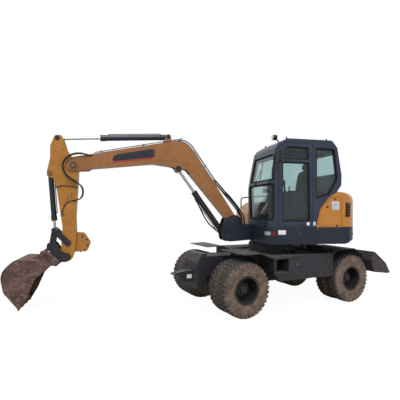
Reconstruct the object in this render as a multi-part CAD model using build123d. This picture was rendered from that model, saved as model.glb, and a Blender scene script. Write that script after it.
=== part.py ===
from build123d import *
import math
import os

os.makedirs("parts", exist_ok=True)

# Driving dimensions in millimetres, with X to the front, Y to the left and Z up from the ground.
# The undercarriage is laid out from the middle of the wheelbase.
WHEELBASE = 2290
AXLE_X = WHEELBASE / 2
TYRE_RADIUS = 430
TYRE_WIDTH = 208
TWIN_PITCH = 269
OVER_TYRES = 1890
TYRE_SIDES = 24
RIM_RADIUS = 205
RIM_WALL = 14
RIM_FLANGE = 16
FLANGE_THICKNESS = 8
FLANGE_INSET = 8
DISC_THICKNESS = 30
HUB_RADIUS = 110
HUB_INNER = 60
HUB_OUTER = 105
SPINDLE_RADIUS = 45
SPINDLE_END = 55
PIN_CLEARANCE = 0.1
SEAT_GAP = 0.3
MOVING_GAP = 6

# Steering axle
KINGPIN_Y = 560
KINGPIN_RADIUS = 22
KNUCKLE_RADIUS = 45
KNUCKLE_HALF_HEIGHT = 88
FORK_WALL = 30
FORK_HALF_WIDTH = 42
FORK_DEPTH = 76
AXLE_HALF_WIDTH = 50
AXLE_HALF_HEIGHT = 75
AXLE_BODY_RADIUS = 125
STEER_ARM_X = 190
STEER_ARM_Y = 160
TIE_ROD_RADIUS = 18
STEER_BARREL_RADIUS = 36
STEER_BARREL_LENGTH = 360
SHAFT_RADIUS = 38

# Chassis
BEAM_HALF_WIDTH = 215
BEAM_BOTTOM = 560
BEAM_TOP = 820
CENTRE_HALF_LENGTH = AXLE_X - 525
CENTRE_HALF_WIDTH = 460
CENTRE_BOTTOM = 500
CENTRE_TOP = 890
NOSE_FRONT = AXLE_X + 500
NOSE_HALF_WIDTH = 255
REAR_END = -AXLE_X - 305
RING_RADIUS = 435
RING_BORE = 330
RING_TOP = 1030

# Side boxes and mudguards
BOX_OUTER = 930
BOX_FRONT = AXLE_X - TYRE_RADIUS - 95
BOX_REAR = TYRE_RADIUS + 35 - AXLE_X
BOX_BOTTOM = 518
BOX_TOP = 905
BOX_CHAMFER = 125
BOX_WALL = 24
RECESS_FRONT = BOX_FRONT - 30
RECESS_REAR = BOX_FRONT - 295
RECESS_BOTTOM = 650
RECESS_TOP = 872
RECESS_DEPTH = 260
LOCKER_FRONT = BOX_FRONT - 385
LOCKER_REAR = BOX_REAR + 40
LOCKER_THICKNESS = 22
LOCKER_PIN_RADIUS = 5
LOCKER_HINGE = (LOCKER_REAR + MOVING_GAP + LOCKER_THICKNESS / 2, BOX_OUTER - LOCKER_THICKNESS / 2)
GUARD_THICKNESS = 12
GUARD_TOP = 985

# Blade
BLADE_HALF_WIDTH = 940
BLADE_PIVOT = (REAR_END + 120, 600)
BLADE_ARM_WALL = 36
BLADE_CYLINDER_FOOT = (REAR_END - 25, 850)
BLADE_ROD_PIN = (REAR_END - 222, 600)
BLADE_BARREL_RADIUS = 40
BLADE_EAR_WALL = 26
HEAD_STEP = 5

# Upper structure, laid out from the swing axis and turned with it
SWING_X = -64
HOUSE_TURN = -15.46
HOUSE_HALF_WIDTH = 930
DECK_BOTTOM = 1093
DECK_TOP = 1380
HOUSE_FRONT = 445
CORNER_RADIUS = 140
TAIL_CENTRE_X = -300
TAIL_RADIUS = HOUSE_HALF_WIDTH + 255
WIDE = HOUSE_HALF_WIDTH + 70
BEHIND = TAIL_CENTRE_X - TAIL_RADIUS - 215
COUNTERWEIGHT_FRONT = -905
COVER_TOP = 1985
HOOD_HINGE = (-885, COVER_TOP + 12)
HOOD_HINGE_Y = 420
HOOD_EYE = 11
HOOD_PIN = 6
COVER_WALL = 30
SEAM_X = -885
CAB_SEAM = 8

# Cab
CAB_RIGHT = -70
CAB_WALL = 60
DOOR_REAR = -330
DOOR_FRONT = 282
DOOR_BOTTOM = 1400
DOOR_TOP = 2785
DOOR_HINGE = (DOOR_REAR - 3, HOUSE_HALF_WIDTH + 6)
GLASS = 8
FRONT_PILLAR = 352
CONSOLE_INSET = 170
WINDSCREEN = (2142, 2600)
LOWER_SCREEN = (1480, 2102)

# Boom plane and pins, from the swing axis
BOOM_Y = -100
BOOM_WIDTH = 200
BOOM_FOOT = (760, 1445)
BOOM_CYLINDER_FOOT = (880, 1125)
BOOM_ROD_PIN = (1815, 2385)
BOOM_BARREL_RADIUS = 52
BOOM_BARREL_LENGTH = 1060
ARM_PIVOT = (3635, 2387)
ARM_CYLINDER_FOOT = (2004, 2967)
ARM_ROD_PIN = (3905, 2848)
ARM_BARREL_RADIUS = 50
ARM_WIDTH = 144
FORK_RADIUS = 290
BUCKET_PIN = (3727, 825)
ROCKER_PIN = (3705, 1060)
LINK_PIN = (3925, 1275)
COUPLER_PIN = (3965, 1010)
BUCKET_CYLINDER_FOOT = (4014, 2238)
BUCKET_BARREL_RADIUS = 44
BUCKET_FRONT_PIN = (3872, 738)
BUCKET_REAR_PIN = (4078, 888)
COUPLER_HALF_WIDTH = 108
PIN_RADIUS = 32
EAR_WALL = 30
ARM_EAR_WALL = 24
POCKET_WALL = 24

# Bucket, along its mouth from the hinge lip and square to it
LINK_INNER = 36
LINK_OUTER = 66
PIPE_CLAMPS = [
    # x, z, tilt
    (1310, 2457, -54.5),
    (1780, 2932, 9.7),
    (2450, 2797, 11.8),
    (3180, 2645, 11.8),
]
BUCKET_WIDTH = 760
BUCKET_LIP = (3938, 710)
BUCKET_EDGE = (4386, 14)
BUCKET_SHELL = 18
TOOTH_COUNT = 4


def side_face(corners):
    """A face in the X-Z plane from corners of x, z and corner radius."""
    points = [(x, z) for x, z, _ in corners]
    radii = [r for _, _, r in corners]
    return Plane.XZ * make_face(FilletPolyline(*points, radius=radii, close=True))


def side_prism(corners, low, high):
    """A side outline made solid from y = low to y = high."""
    return Pos(0, high, 0) * extrude(side_face(corners), high - low, dir=(0, -1, 0))


def plan_prism(corners, low, high):
    """A plan outline of x, y and corner radius made solid from z = low to z = high."""
    points = [(x, y) for x, y, _ in corners]
    radii = [r for _, _, r in corners]
    face = make_face(FilletPolyline(*points, radius=radii, close=True))
    return Pos(0, 0, low) * extrude(face, high - low, dir=(0, 0, 1))


def block(low, high):
    """A box between two opposite corners."""
    size = [b - a for a, b in zip(low, high)]
    middle = [(a + b) / 2 for a, b in zip(low, high)]
    return Pos(*middle) * Box(*size)


def cross_pin(at, radius, low, high):
    """A round bar along Y through the x, z place given."""
    return Pos(at[0], (low + high) / 2, at[1]) * Rot(90, 0, 0) * Cylinder(radius, high - low)


def round_bar(start, end, radius):
    """A round bar from one point to another."""
    way = Vector(*end) - Vector(*start)
    plane = Plane(origin=start, z_dir=way)
    return extrude(plane * Circle(radius), way.length)


def web(start, end, start_radius, end_radius, low, high):
    """A flat link with a round end about each of two pins."""
    hull = make_hull(
        (Pos(*start) * Circle(start_radius)).edges() + (Pos(*end) * Circle(end_radius)).edges()
    )
    return Pos(0, high, 0) * extrude(Plane.XZ * hull, high - low, dir=(0, -1, 0))


def both_sides(shape):
    """The shape and its mirror image across the middle plane."""
    return shape + mirror(shape, Plane.XZ)


# Wheels

WHEEL_Y = (OVER_TYRES - TYRE_WIDTH - TWIN_PITCH) / 2
WHEELS = {
    "front_left": (WHEELBASE / 2, 1),
    "front_right": (WHEELBASE / 2, -1),
    "rear_left": (-WHEELBASE / 2, 1),
    "rear_right": (-WHEELBASE / 2, -1),
}


def tyre_ring(radius):
    """A many-sided wire whose flats touch the circle of this radius."""
    return RegularPolygon(radius, TYRE_SIDES, major_radius=False, rotation=180 / TYRE_SIDES)


def tyre():
    """One tyre, standing on a flat of its tread, centred on its own middle."""
    half = TYRE_WIDTH / 2
    bead = half - FLANGE_INSET - FLANGE_THICKNESS - SEAT_GAP
    sections = [
        (-bead, RIM_RADIUS + RIM_FLANGE + 6),
        (-half, 0.78 * TYRE_RADIUS),
        (-half + 10, 0.93 * TYRE_RADIUS),
        (-half + 30, TYRE_RADIUS),
        (half - 30, TYRE_RADIUS),
        (half - 10, 0.93 * TYRE_RADIUS),
        (half, 0.78 * TYRE_RADIUS),
        (bead, RIM_RADIUS + RIM_FLANGE + 6),
    ]
    rings = [Pos(0, 0, z) * tyre_ring(r) for z, r in sections]
    solid = loft(rings, ruled=True)
    bore = extrude(tyre_ring(RIM_RADIUS + SEAT_GAP), TYRE_WIDTH, both=True)
    return Rot(-90, 0, 0) * (solid - bore)


def tyres(x, side):
    """The twin tyres of one wheel."""
    places = [side * WHEEL_Y + offset * TWIN_PITCH / 2 for offset in (-1, 1)]
    return Compound(children=[Pos(x, y, TYRE_RADIUS) * tyre() for y in places])


def rims(x, side):
    """Twin rims with their shared disc and hub, bored for the spindle from inside."""
    reach = TWIN_PITCH / 2 + TYRE_WIDTH / 2 - FLANGE_INSET
    seat = TWIN_PITCH / 2 - TYRE_WIDTH / 2 + FLANGE_INSET
    solid = Cylinder(RIM_RADIUS, 2 * reach)
    solid -= Pos(0, 0, DISC_THICKNESS / 2) * Cylinder(
        RIM_RADIUS - RIM_WALL, reach, align=(Align.CENTER, Align.CENTER, Align.MIN)
    )
    solid -= Pos(0, 0, -DISC_THICKNESS / 2) * Cylinder(
        RIM_RADIUS - RIM_WALL, reach, align=(Align.CENTER, Align.CENTER, Align.MAX)
    )
    for height in (-reach, -seat, seat, reach):
        flange = Cylinder(RIM_RADIUS + RIM_FLANGE, FLANGE_THICKNESS)
        flange -= Cylinder(RIM_RADIUS - RIM_WALL, FLANGE_THICKNESS)
        inward = FLANGE_THICKNESS / 2 if height < 0 else -FLANGE_THICKNESS / 2
        solid += Pos(0, 0, height + (inward if abs(height) == reach else -inward)) * flange
    solid += Pos(0, 0, -HUB_INNER) * Cylinder(
        HUB_RADIUS, HUB_INNER + HUB_OUTER, align=(Align.CENTER, Align.CENTER, Align.MIN)
    )
    solid -= Pos(0, 0, -HUB_INNER) * Cylinder(
        SPINDLE_RADIUS + PIN_CLEARANCE,
        HUB_INNER + SPINDLE_END + MOVING_GAP,
        align=(Align.CENTER, Align.CENTER, Align.MIN),
    )
    return Pos(x, side * WHEEL_Y, TYRE_RADIUS) * Rot(-90 * side, 0, 0) * solid


def spindle(x, side, start):
    """The round stub that carries a wheel, from y = start to inside the hub."""
    end = WHEEL_Y + SPINDLE_END
    low, high = sorted((side * start, side * end))
    return cross_pin((x, TYRE_RADIUS), SPINDLE_RADIUS, low, high)


# Axles and steering

def front_axle():
    """The steering axle: middle housing, beams, forks with kingpins and the steering cylinder."""
    x = WHEELBASE / 2
    z = TYRE_RADIUS
    fork_top = KNUCKLE_HALF_HEIGHT + MOVING_GAP + FORK_WALL
    housing = Pos(x, 0, z) * Sphere(AXLE_BODY_RADIUS)
    housing += block((x - 200, -60, z - 60), (x, 60, z + 60))
    beam = block(
        (x - AXLE_HALF_WIDTH, 0, z - AXLE_HALF_HEIGHT),
        (x + AXLE_HALF_WIDTH, KINGPIN_Y - 90, z + AXLE_HALF_HEIGHT),
    )
    fork = block(
        (x - FORK_HALF_WIDTH, KINGPIN_Y - 130, z - fork_top),
        (x + FORK_HALF_WIDTH, KINGPIN_Y + 40, z + fork_top),
    )
    fork -= block(
        (x - 100, KINGPIN_Y - FORK_DEPTH, z - fork_top + FORK_WALL),
        (x + 100, KINGPIN_Y + 60, z + fork_top - FORK_WALL),
    )
    pin = Pos(x, KINGPIN_Y, z) * Cylinder(KINGPIN_RADIUS, 2 * fork_top + 12)
    arms = both_sides(beam + fork + pin)
    cylinder_x = x + STEER_ARM_X
    reach = STEER_BARREL_LENGTH / 2
    barrel = cross_pin((cylinder_x, z), STEER_BARREL_RADIUS, -reach, reach)
    bracket = block((x + 80, -60, z - 50), (cylinder_x, 60, z - 10))
    cylinder = barrel + bracket
    cylinder -= cross_pin((cylinder_x, z), TIE_ROD_RADIUS + PIN_CLEARANCE, -400, 400)
    pivot = block((x - 90, -110, z + 100), (x + 90, 110, BEAM_BOTTOM))
    return housing + arms + cylinder + pivot


def knuckle(side):
    """A steering knuckle: bored block, wheel spindle and steering arm."""
    x = WHEELBASE / 2
    z = TYRE_RADIUS
    body = Pos(x, KINGPIN_Y, z) * Cylinder(KNUCKLE_RADIUS, 2 * KNUCKLE_HALF_HEIGHT)
    body += spindle(x, 1, KINGPIN_Y)
    arm_z = (z - 20, z + 20)
    arm = plan_prism(
        [
            (x + 20, KINGPIN_Y - 20, 0),
            (x + 20, KINGPIN_Y + 20, 0),
            (x + 60, KINGPIN_Y + 10, 0),
            (x + 160, KINGPIN_Y - 80, 20),
            (x + STEER_ARM_X + 20, KINGPIN_Y - STEER_ARM_Y, 12),
            (x + STEER_ARM_X - 12, KINGPIN_Y - STEER_ARM_Y - 22, 12),
            (x + 125, KINGPIN_Y - 92, 20),
            (x + 70, KINGPIN_Y - 40, 10),
        ],
        *arm_z,
    )
    body += arm
    body -= Pos(x, KINGPIN_Y, z) * Cylinder(KINGPIN_RADIUS + PIN_CLEARANCE, 400)
    return body if side > 0 else mirror(body, Plane.XZ)


def tie_rod():
    """The rod through the steering cylinder, with a fork end over each steering arm."""
    x = WHEELBASE / 2 + STEER_ARM_X
    z = TYRE_RADIUS
    end = KINGPIN_Y - STEER_ARM_Y
    rod = cross_pin((x, z), TIE_ROD_RADIUS, -end + 40, end - 40)
    jaw = block((x - 22, end - 60, z - 40), (x + 22, end + 22, z + 40))
    jaw -= block((x - 40, end - 42, z - 20 - MOVING_GAP), (x + 40, end + 60, z + 20 + MOVING_GAP))
    return rod + both_sides(jaw)


def rear_axle():
    """The rigid rear axle with its middle housing and wheel spindles."""
    x = -WHEELBASE / 2
    z = TYRE_RADIUS
    start = WHEEL_Y - HUB_INNER - 30
    housing = Pos(x, 0, z) * Sphere(AXLE_BODY_RADIUS)
    housing += block((x, -60, z - 60), (x + 200, 60, z + 60))
    beam = cross_pin((x, z), AXLE_HALF_HEIGHT, -start, start)
    saddles = both_sides(block((x - 80, 120, z), (x + 80, BEAM_HALF_WIDTH - 10, BEAM_BOTTOM)))
    return housing + beam + saddles + spindle(x, 1, start) + spindle(x, -1, start)


def drive_shaft():
    """The shaft from the gearbox to both axles, with the gearbox in its middle."""
    reach = WHEELBASE / 2 - 200
    shaft = round_bar((-reach, 0, TYRE_RADIUS), (reach, 0, TYRE_RADIUS), SHAFT_RADIUS)
    gearbox = block((-160, -140, TYRE_RADIUS - 90), (160, 140, CENTRE_BOTTOM))
    return shaft + gearbox


# Chassis

def chassis_frame():
    """Central beam, wide middle, nose, towing jaw and the fixed race of the swing ring."""
    beam = side_prism(
        [
            (REAR_END, BEAM_BOTTOM, 40),
            (NOSE_FRONT - 150, BEAM_BOTTOM, 40),
            (NOSE_FRONT - 150, BEAM_TOP + 60, 60),
            (REAR_END, BEAM_TOP, 60),
        ],
        -BEAM_HALF_WIDTH,
        BEAM_HALF_WIDTH,
    )
    middle = block(
        (-CENTRE_HALF_LENGTH, -CENTRE_HALF_WIDTH, CENTRE_BOTTOM),
        (CENTRE_HALF_LENGTH, CENTRE_HALF_WIDTH, CENTRE_TOP),
    )
    nose = side_prism(
        [
            (NOSE_FRONT - 160, 350, 0),
            (NOSE_FRONT + 20, 340, 40),
            (NOSE_FRONT, 780, 80),
            (NOSE_FRONT - 60, 930, 40),
            (NOSE_FRONT - 160, 930, 0),
        ],
        -NOSE_HALF_WIDTH,
        NOSE_HALF_WIDTH,
    )
    jaw = side_prism(
        [
            (NOSE_FRONT - 60, 430, 0),
            (NOSE_FRONT + 250, 470, 30),
            (NOSE_FRONT + 345, 545, 30),
            (NOSE_FRONT + 345, 600, 30),
            (NOSE_FRONT + 100, 640, 30),
            (NOSE_FRONT - 60, 640, 0),
        ],
        -70,
        70,
    )
    jaw -= block((NOSE_FRONT + 200, -90, 515), (NOSE_FRONT + 400, 90, 575))
    jaw -= Pos(NOSE_FRONT + 290, 0, 500) * Cylinder(21, 400)
    ring = Cylinder(RING_RADIUS, RING_TOP - CENTRE_TOP, align=(Align.CENTER, Align.CENTER, Align.MIN))
    ring -= Cylinder(RING_BORE, RING_TOP - CENTRE_TOP, align=(Align.CENTER, Align.CENTER, Align.MIN))
    ring = Pos(SWING_X, 0, CENTRE_TOP) * ring
    reach = BEAM_HALF_WIDTH + MOVING_GAP + BLADE_ARM_WALL + 8
    blade_pin = cross_pin(BLADE_PIVOT, PIN_RADIUS, -reach, reach)
    low = BLADE_BARREL_RADIUS + 2 * MOVING_GAP
    high = low + BLADE_EAR_WALL
    lift_ears = both_sides(web(BLADE_CYLINDER_FOOT, (REAR_END + 90, BEAM_TOP - 80), 45, 60, low, high))
    lift_pin = cross_pin(BLADE_CYLINDER_FOOT, 22, -high, high)
    return beam + middle + nose + jaw + ring + blade_pin + lift_ears + lift_pin


def guard(corners, low, high):
    """A mudguard plate that follows corners of x and z."""
    upper = [(x, z) for x, z in corners]
    lower = [(x, z - GUARD_THICKNESS) for x, z in reversed(corners)]
    return side_prism([(x, z, 0) for x, z in upper + lower], low, high)


def locker_pin(radius, low, high):
    """A cylinder about a locker door's hinge line."""
    x, y = LOCKER_HINGE
    return Pos(x, y, low) * Cylinder(radius, high - low, align=(Align.CENTER, Align.CENTER, Align.MIN))


def side_box(side):
    """A side box with its step recess, its locker space and both mudguards."""
    body = side_prism(
        [
            (BOX_REAR, BOX_BOTTOM, 60),
            (BOX_FRONT - BOX_CHAMFER, BOX_BOTTOM, 30),
            (BOX_FRONT, BOX_BOTTOM + BOX_CHAMFER, 30),
            (BOX_FRONT, BOX_TOP, 0),
            (BOX_REAR, BOX_TOP, 0),
        ],
        CENTRE_HALF_WIDTH,
        BOX_OUTER,
    )
    body -= block(
        (RECESS_REAR, BOX_OUTER - RECESS_DEPTH, RECESS_BOTTOM),
        (RECESS_FRONT, BOX_OUTER + 1, RECESS_TOP),
    )
    body -= block(
        (LOCKER_REAR, CENTRE_HALF_WIDTH + BOX_WALL, BOX_BOTTOM + BOX_WALL + 20),
        (LOCKER_FRONT, BOX_OUTER + 1, BOX_TOP - BOX_WALL),
    )
    front = guard(
        [
            (BOX_FRONT - 30, BOX_TOP),
            (BOX_FRONT + 60, BOX_TOP),
            (AXLE_X - 255, GUARD_TOP),
            (AXLE_X + 70, GUARD_TOP - 5),
        ],
        BEAM_HALF_WIDTH,
        BOX_OUTER + 10,
    )
    rear = guard(
        [
            (BOX_REAR + 30, BOX_TOP),
            (BOX_REAR - 10, BOX_TOP),
            (355 - AXLE_X, GUARD_TOP - 5),
            (-80 - AXLE_X, GUARD_TOP - 15),
            (-405 - AXLE_X, 800),
        ],
        BEAM_HALF_WIDTH,
        BOX_OUTER + 10,
    )
    posts = [
        block((x, BEAM_HALF_WIDTH, BEAM_TOP - 60), (x + 100, BEAM_HALF_WIDTH + 14, GUARD_TOP - 12))
        for x in (AXLE_X - 245, 45 - AXLE_X)
    ]
    body += front + rear + posts[0] + posts[1]
    body += locker_pin(LOCKER_PIN_RADIUS, BOX_BOTTOM + BOX_WALL + 19, BOX_TOP - BOX_WALL + 1)
    return body if side > 0 else mirror(body, Plane.XZ)


def locker_door(side):
    """A locker door that fills its opening with a running gap all round."""
    low = BOX_BOTTOM + BOX_WALL + 20 + MOVING_GAP
    high = BOX_TOP - BOX_WALL - MOVING_GAP
    half = LOCKER_THICKNESS / 2
    panel = block(
        (LOCKER_HINGE[0], BOX_OUTER - LOCKER_THICKNESS, low),
        (LOCKER_FRONT - MOVING_GAP, BOX_OUTER, high),
    )
    panel += locker_pin(half, low, high)
    panel -= locker_pin(LOCKER_PIN_RADIUS + SEAT_GAP, low - 1, high + 1)
    lock = cross_pin((LOCKER_FRONT - 90, 755), 14, BOX_OUTER - 1, BOX_OUTER + 5)
    body = panel + lock
    return body if side > 0 else mirror(body, Plane.XZ)


# Blade

def blade():
    """The board with its curved plate, end cheeks, cutting edge and arms."""
    foot = REAR_END - 240
    cheek_corners = [
        (foot - 50, 890, 15),
        (foot - 110, 872, 30),
        (foot - 420, 650, 60),
        (foot - 543, 458, 6),
        (foot - 460, 452, 20),
        (foot - 85, 500, 40),
        (foot, 720, 40),
    ]
    solid = side_prism(cheek_corners, -BLADE_HALF_WIDTH, BLADE_HALF_WIDTH)
    hollow = side_prism(
        [
            (foot - 100, 920, 0),
            (foot - 90, 830, 60),
            (foot - 160, 600, 160),
            (foot - 390, 500, 60),
            (foot - 570, 462, 0),
            (foot - 610, 900, 0),
        ],
        -BLADE_HALF_WIDTH + 25,
        BLADE_HALF_WIDTH - 25,
    )
    solid -= hollow
    arm = side_prism(
        [
            (BLADE_PIVOT[0] + 60, BLADE_PIVOT[1] - 60, 55),
            (BLADE_PIVOT[0] + 60, BLADE_PIVOT[1] + 60, 55),
            (foot - 50, 680, 0),
            (foot - 90, 520, 0),
        ],
        BEAM_HALF_WIDTH + MOVING_GAP,
        BEAM_HALF_WIDTH + MOVING_GAP + BLADE_ARM_WALL,
    )
    arm -= cross_pin(BLADE_PIVOT, PIN_RADIUS + PIN_CLEARANCE, 0, 400)
    low = BLADE_BARREL_RADIUS + 2 * MOVING_GAP
    ear = web(BLADE_ROD_PIN, (foot - 70, 610), 42, 60, low, low + BLADE_EAR_WALL)
    bosses = cross_pin(BLADE_ROD_PIN, 26, low - 4, low + BLADE_EAR_WALL)
    return solid + both_sides(arm) + both_sides(ear + bosses)


def cylinder_barrel(foot, rod_end, eye_radius, radius, length, y, width, bore, pin):
    """A cylinder barrel from its foot pin towards the rod, bored for the rod."""
    along = Vector(rod_end[0] - foot[0], 0, rod_end[1] - foot[1]).normalized()
    start = Vector(foot[0], y, foot[1])
    eye = cross_pin(foot, eye_radius, y - width / 2, y + width / 2)
    tube = round_bar(tuple(start), tuple(start + along * length), radius)
    tube += round_bar(tuple(start + along * (length - 60)), tuple(start + along * length), radius + HEAD_STEP)
    body = eye + tube
    body -= round_bar(tuple(start + along * (eye_radius + 40)), tuple(start + along * (length + 5)), bore)
    body -= cross_pin(foot, pin + PIN_CLEARANCE, y - width, y + width)
    return body


def cylinder_rod(foot, rod_end, eye_radius, radius, inside, y, width, pin):
    """A cylinder rod from its eye back into the barrel."""
    along = Vector(rod_end[0] - foot[0], 0, rod_end[1] - foot[1]).normalized()
    end = Vector(rod_end[0], y, rod_end[1])
    start = Vector(foot[0], y, foot[1]) + along * inside
    body = round_bar(tuple(start), tuple(end), radius)
    body += cross_pin(rod_end, eye_radius, y - width / 2, y + width / 2)
    body -= cross_pin(rod_end, pin + PIN_CLEARANCE, y - width, y + width)
    return body


def blade_barrel():
    width = 2 * (BLADE_BARREL_RADIUS + MOVING_GAP)
    return cylinder_barrel(BLADE_CYLINDER_FOOT, BLADE_ROD_PIN, 38, BLADE_BARREL_RADIUS, 225, 0, width, 18.1, 22)


def blade_rod():
    width = 2 * BLADE_BARREL_RADIUS - 4
    return cylinder_rod(BLADE_CYLINDER_FOOT, BLADE_ROD_PIN, 32, 18, 100, 0, width, 20)


# Upper structure

def house_plan(offset):
    """The plan outline of the deck and covers, moved inwards by offset."""
    half = HOUSE_HALF_WIDTH - offset
    side = Pos(TAIL_CENTRE_X, 0) * Circle(TAIL_RADIUS - offset)
    long = 2 * TAIL_RADIUS
    strip = Pos(HOUSE_FRONT - offset - long / 2, 0) * Rectangle(long, 2 * half)
    return side & strip


def deck_frame():
    """The deck with its skirts, the moving race of the swing ring and the boom ears."""
    slab = Pos(0, 0, DECK_BOTTOM) * extrude(house_plan(0), DECK_TOP - DECK_BOTTOM)
    slab &= plan_outline_to_front()
    slab -= block((BEHIND, -WIDE, DECK_BOTTOM - 1), (COUNTERWEIGHT_FRONT, WIDE, DECK_TOP + 1))
    race = Pos(0, 0, RING_TOP + SEAT_GAP) * Cylinder(
        RING_RADIUS - 25, DECK_BOTTOM - RING_TOP - SEAT_GAP, align=(Align.CENTER, Align.CENTER, Align.MIN)
    )
    ears = boom_ears()
    return slab + race + ears


def plan_outline_to_front():
    """A tall prism with the rounded front corners of the deck and cab."""
    return plan_prism(
        [
            (BEHIND, -HOUSE_HALF_WIDTH, 0),
            (HOUSE_FRONT, -HOUSE_HALF_WIDTH, CORNER_RADIUS),
            (HOUSE_FRONT, HOUSE_HALF_WIDTH, CORNER_RADIUS),
            (BEHIND, HOUSE_HALF_WIDTH, 0),
        ],
        0,
        3500,
    )


def boom_ears():
    """The nose of the deck: a box that ends in two ears with the boom and cylinder pins."""
    inner = BOOM_WIDTH / 2 + MOVING_GAP
    outer = inner + EAR_WALL
    fx, fz = BOOM_FOOT
    cx, cz = BOOM_CYLINDER_FOOT
    slot_rear = fx - 140
    ear = side_prism(
        [
            (HOUSE_FRONT - 60, DECK_BOTTOM, 0),
            (cx - 60, cz - 65, 20),
            (cx + 90, cz - 50, 50),
            (cx + 125, cz + 145, 40),
            (fx + 170, fz + 45, 40),
            (fx - 10, fz + 120, 80),
            (fx - 110, fz + 70, 60),
            (slot_rear - 20, DECK_TOP, 60),
            (HOUSE_FRONT - 60, DECK_TOP, 0),
        ],
        BOOM_Y - outer,
        BOOM_Y + outer,
    )
    ear -= block((slot_rear, BOOM_Y - inner, 900), (cx + 200, BOOM_Y + inner, 1700))
    ear += cross_pin(BOOM_FOOT, PIN_RADIUS, BOOM_Y - outer - 12, BOOM_Y + outer + 12)
    ear += cross_pin(BOOM_CYLINDER_FOOT, PIN_RADIUS, BOOM_Y - outer - 12, BOOM_Y + outer + 12)
    start = BOOM_BARREL_RADIUS + MOVING_GAP
    for low, high in ((BOOM_Y + start, BOOM_Y + outer), (BOOM_Y - outer, BOOM_Y - start)):
        ear += cross_pin(BOOM_CYLINDER_FOOT, 52, low, high)
    return ear


def counterweight():
    """The heavy tail below the hood, round in plan, with a chamfered foot."""
    body = Pos(0, 0, DECK_BOTTOM) * extrude(house_plan(0), DECK_TOP - DECK_BOTTOM)
    body &= block((BEHIND, -WIDE, 0), (COUNTERWEIGHT_FRONT - SEAT_GAP, WIDE, 3000))
    tail = body.faces().filter_by(GeomType.CYLINDER).edges().group_by(Axis.Z)[0]
    return chamfer(tail.filter_by(GeomType.CIRCLE), 60)


def cover_block(offset):
    """The outer form of engine cover and hood, moved inwards by offset."""
    base = DECK_TOP if offset == 0 else DECK_TOP - 1
    gap = offset + CAB_SEAM
    body = Pos(0, 0, base) * extrude(house_plan(offset), COVER_TOP - offset - base)
    profile = side_prism(
        [
            (BEHIND, DECK_TOP - 2, 0),
            (-395 - gap, DECK_TOP - 2, 0),
            (-468 - gap, 1686, 0),
            (-635 - gap, 1891, 0),
            (-797 - gap, COVER_TOP - offset, 0),
            (BEHIND, COVER_TOP - offset, 0),
        ],
        -WIDE,
        WIDE,
    )
    body &= profile
    rim = body.faces().sort_by(Axis.Z)[-1].edges().filter_by(GeomType.CIRCLE)
    body = fillet(rim, 150 - offset)
    return body


def engine_shell():
    """Cover and hood together, as one open-bottomed shell."""
    return cover_block(0) - cover_block(COVER_WALL)


def side_cover_outline(grow):
    """The outline of the left side cover, made larger by grow."""
    return side_prism(
        [
            (-445 + grow, DECK_TOP + 22 - grow, 0),
            (-505 + grow, 1690, 40),
            (-668 + grow, 1880 + grow, 20),
            (-850 - grow, 1880 + grow, 10),
            (-866 - grow, DECK_TOP + 22 - grow, 0),
        ],
        HOUSE_HALF_WIDTH - COVER_WALL - 2,
        HOUSE_HALF_WIDTH + 2,
    )


def seam_cut(side):
    """The space behind the hood seam (side < 0) or in front of it."""
    gap = MOVING_GAP / 2
    if side < 0:
        return block((BEHIND, -WIDE, DECK_TOP + MOVING_GAP), (SEAM_X - gap, WIDE, 2100))
    return block((SEAM_X + gap, -WIDE, DECK_TOP - 2), (0, WIDE, 2100))


def engine_cover():
    """The fixed front part of the engine cover, open for the side cover."""
    body = engine_shell() & seam_cut(1)
    body -= side_cover_outline(MOVING_GAP)
    foot = (HOOD_HINGE[0] + 34, COVER_TOP - 8)
    for y in (-HOOD_HINGE_Y, HOOD_HINGE_Y):
        for low in (y - 30, y + 18):
            body += web(HOOD_HINGE, foot, HOOD_EYE, 9, low, low + 12)
        body += cross_pin(HOOD_HINGE, HOOD_PIN, y - 30, y + 30)
    return body


def engine_hood():
    """The rear part of the cover, which lifts about its front top edge."""
    body = engine_shell() & seam_cut(-1)
    foot = (HOOD_HINGE[0] - 34, COVER_TOP - 8)
    for y in (-HOOD_HINGE_Y, HOOD_HINGE_Y):
        body += web(HOOD_HINGE, foot, HOOD_EYE, 9, y - 17, y + 17)
        body -= cross_pin(HOOD_HINGE, HOOD_PIN + SEAT_GAP, y - 18, y + 18)
    return body


def side_cover():
    """The left side cover, flush with the engine cover."""
    body = engine_shell() & side_cover_outline(0)
    for x, z in ((-815, 1830), (-735, 1760), (-790, 1430)):
        body += cross_pin((x, z), 12, HOUSE_HALF_WIDTH - 1, HOUSE_HALF_WIDTH + 5)
    return body


def engine_block():
    """The engine as one plain mass on the deck."""
    return block((-1250, -520, DECK_TOP), (-660, 420, 1800))


def tank_cover():
    """The right front cover over the tanks, with its sloping top."""
    body = side_prism(
        [
            (-385, DECK_TOP, 0),
            (HOUSE_FRONT - 5, DECK_TOP, 0),
            (HOUSE_FRONT - 5, 1610, 90),
            (190, 1800, 60),
            (-385, 1840, 0),
        ],
        -HOUSE_HALF_WIDTH,
        CAB_RIGHT - 40,
    )
    return body & plan_outline_to_front()


# Cab

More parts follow.
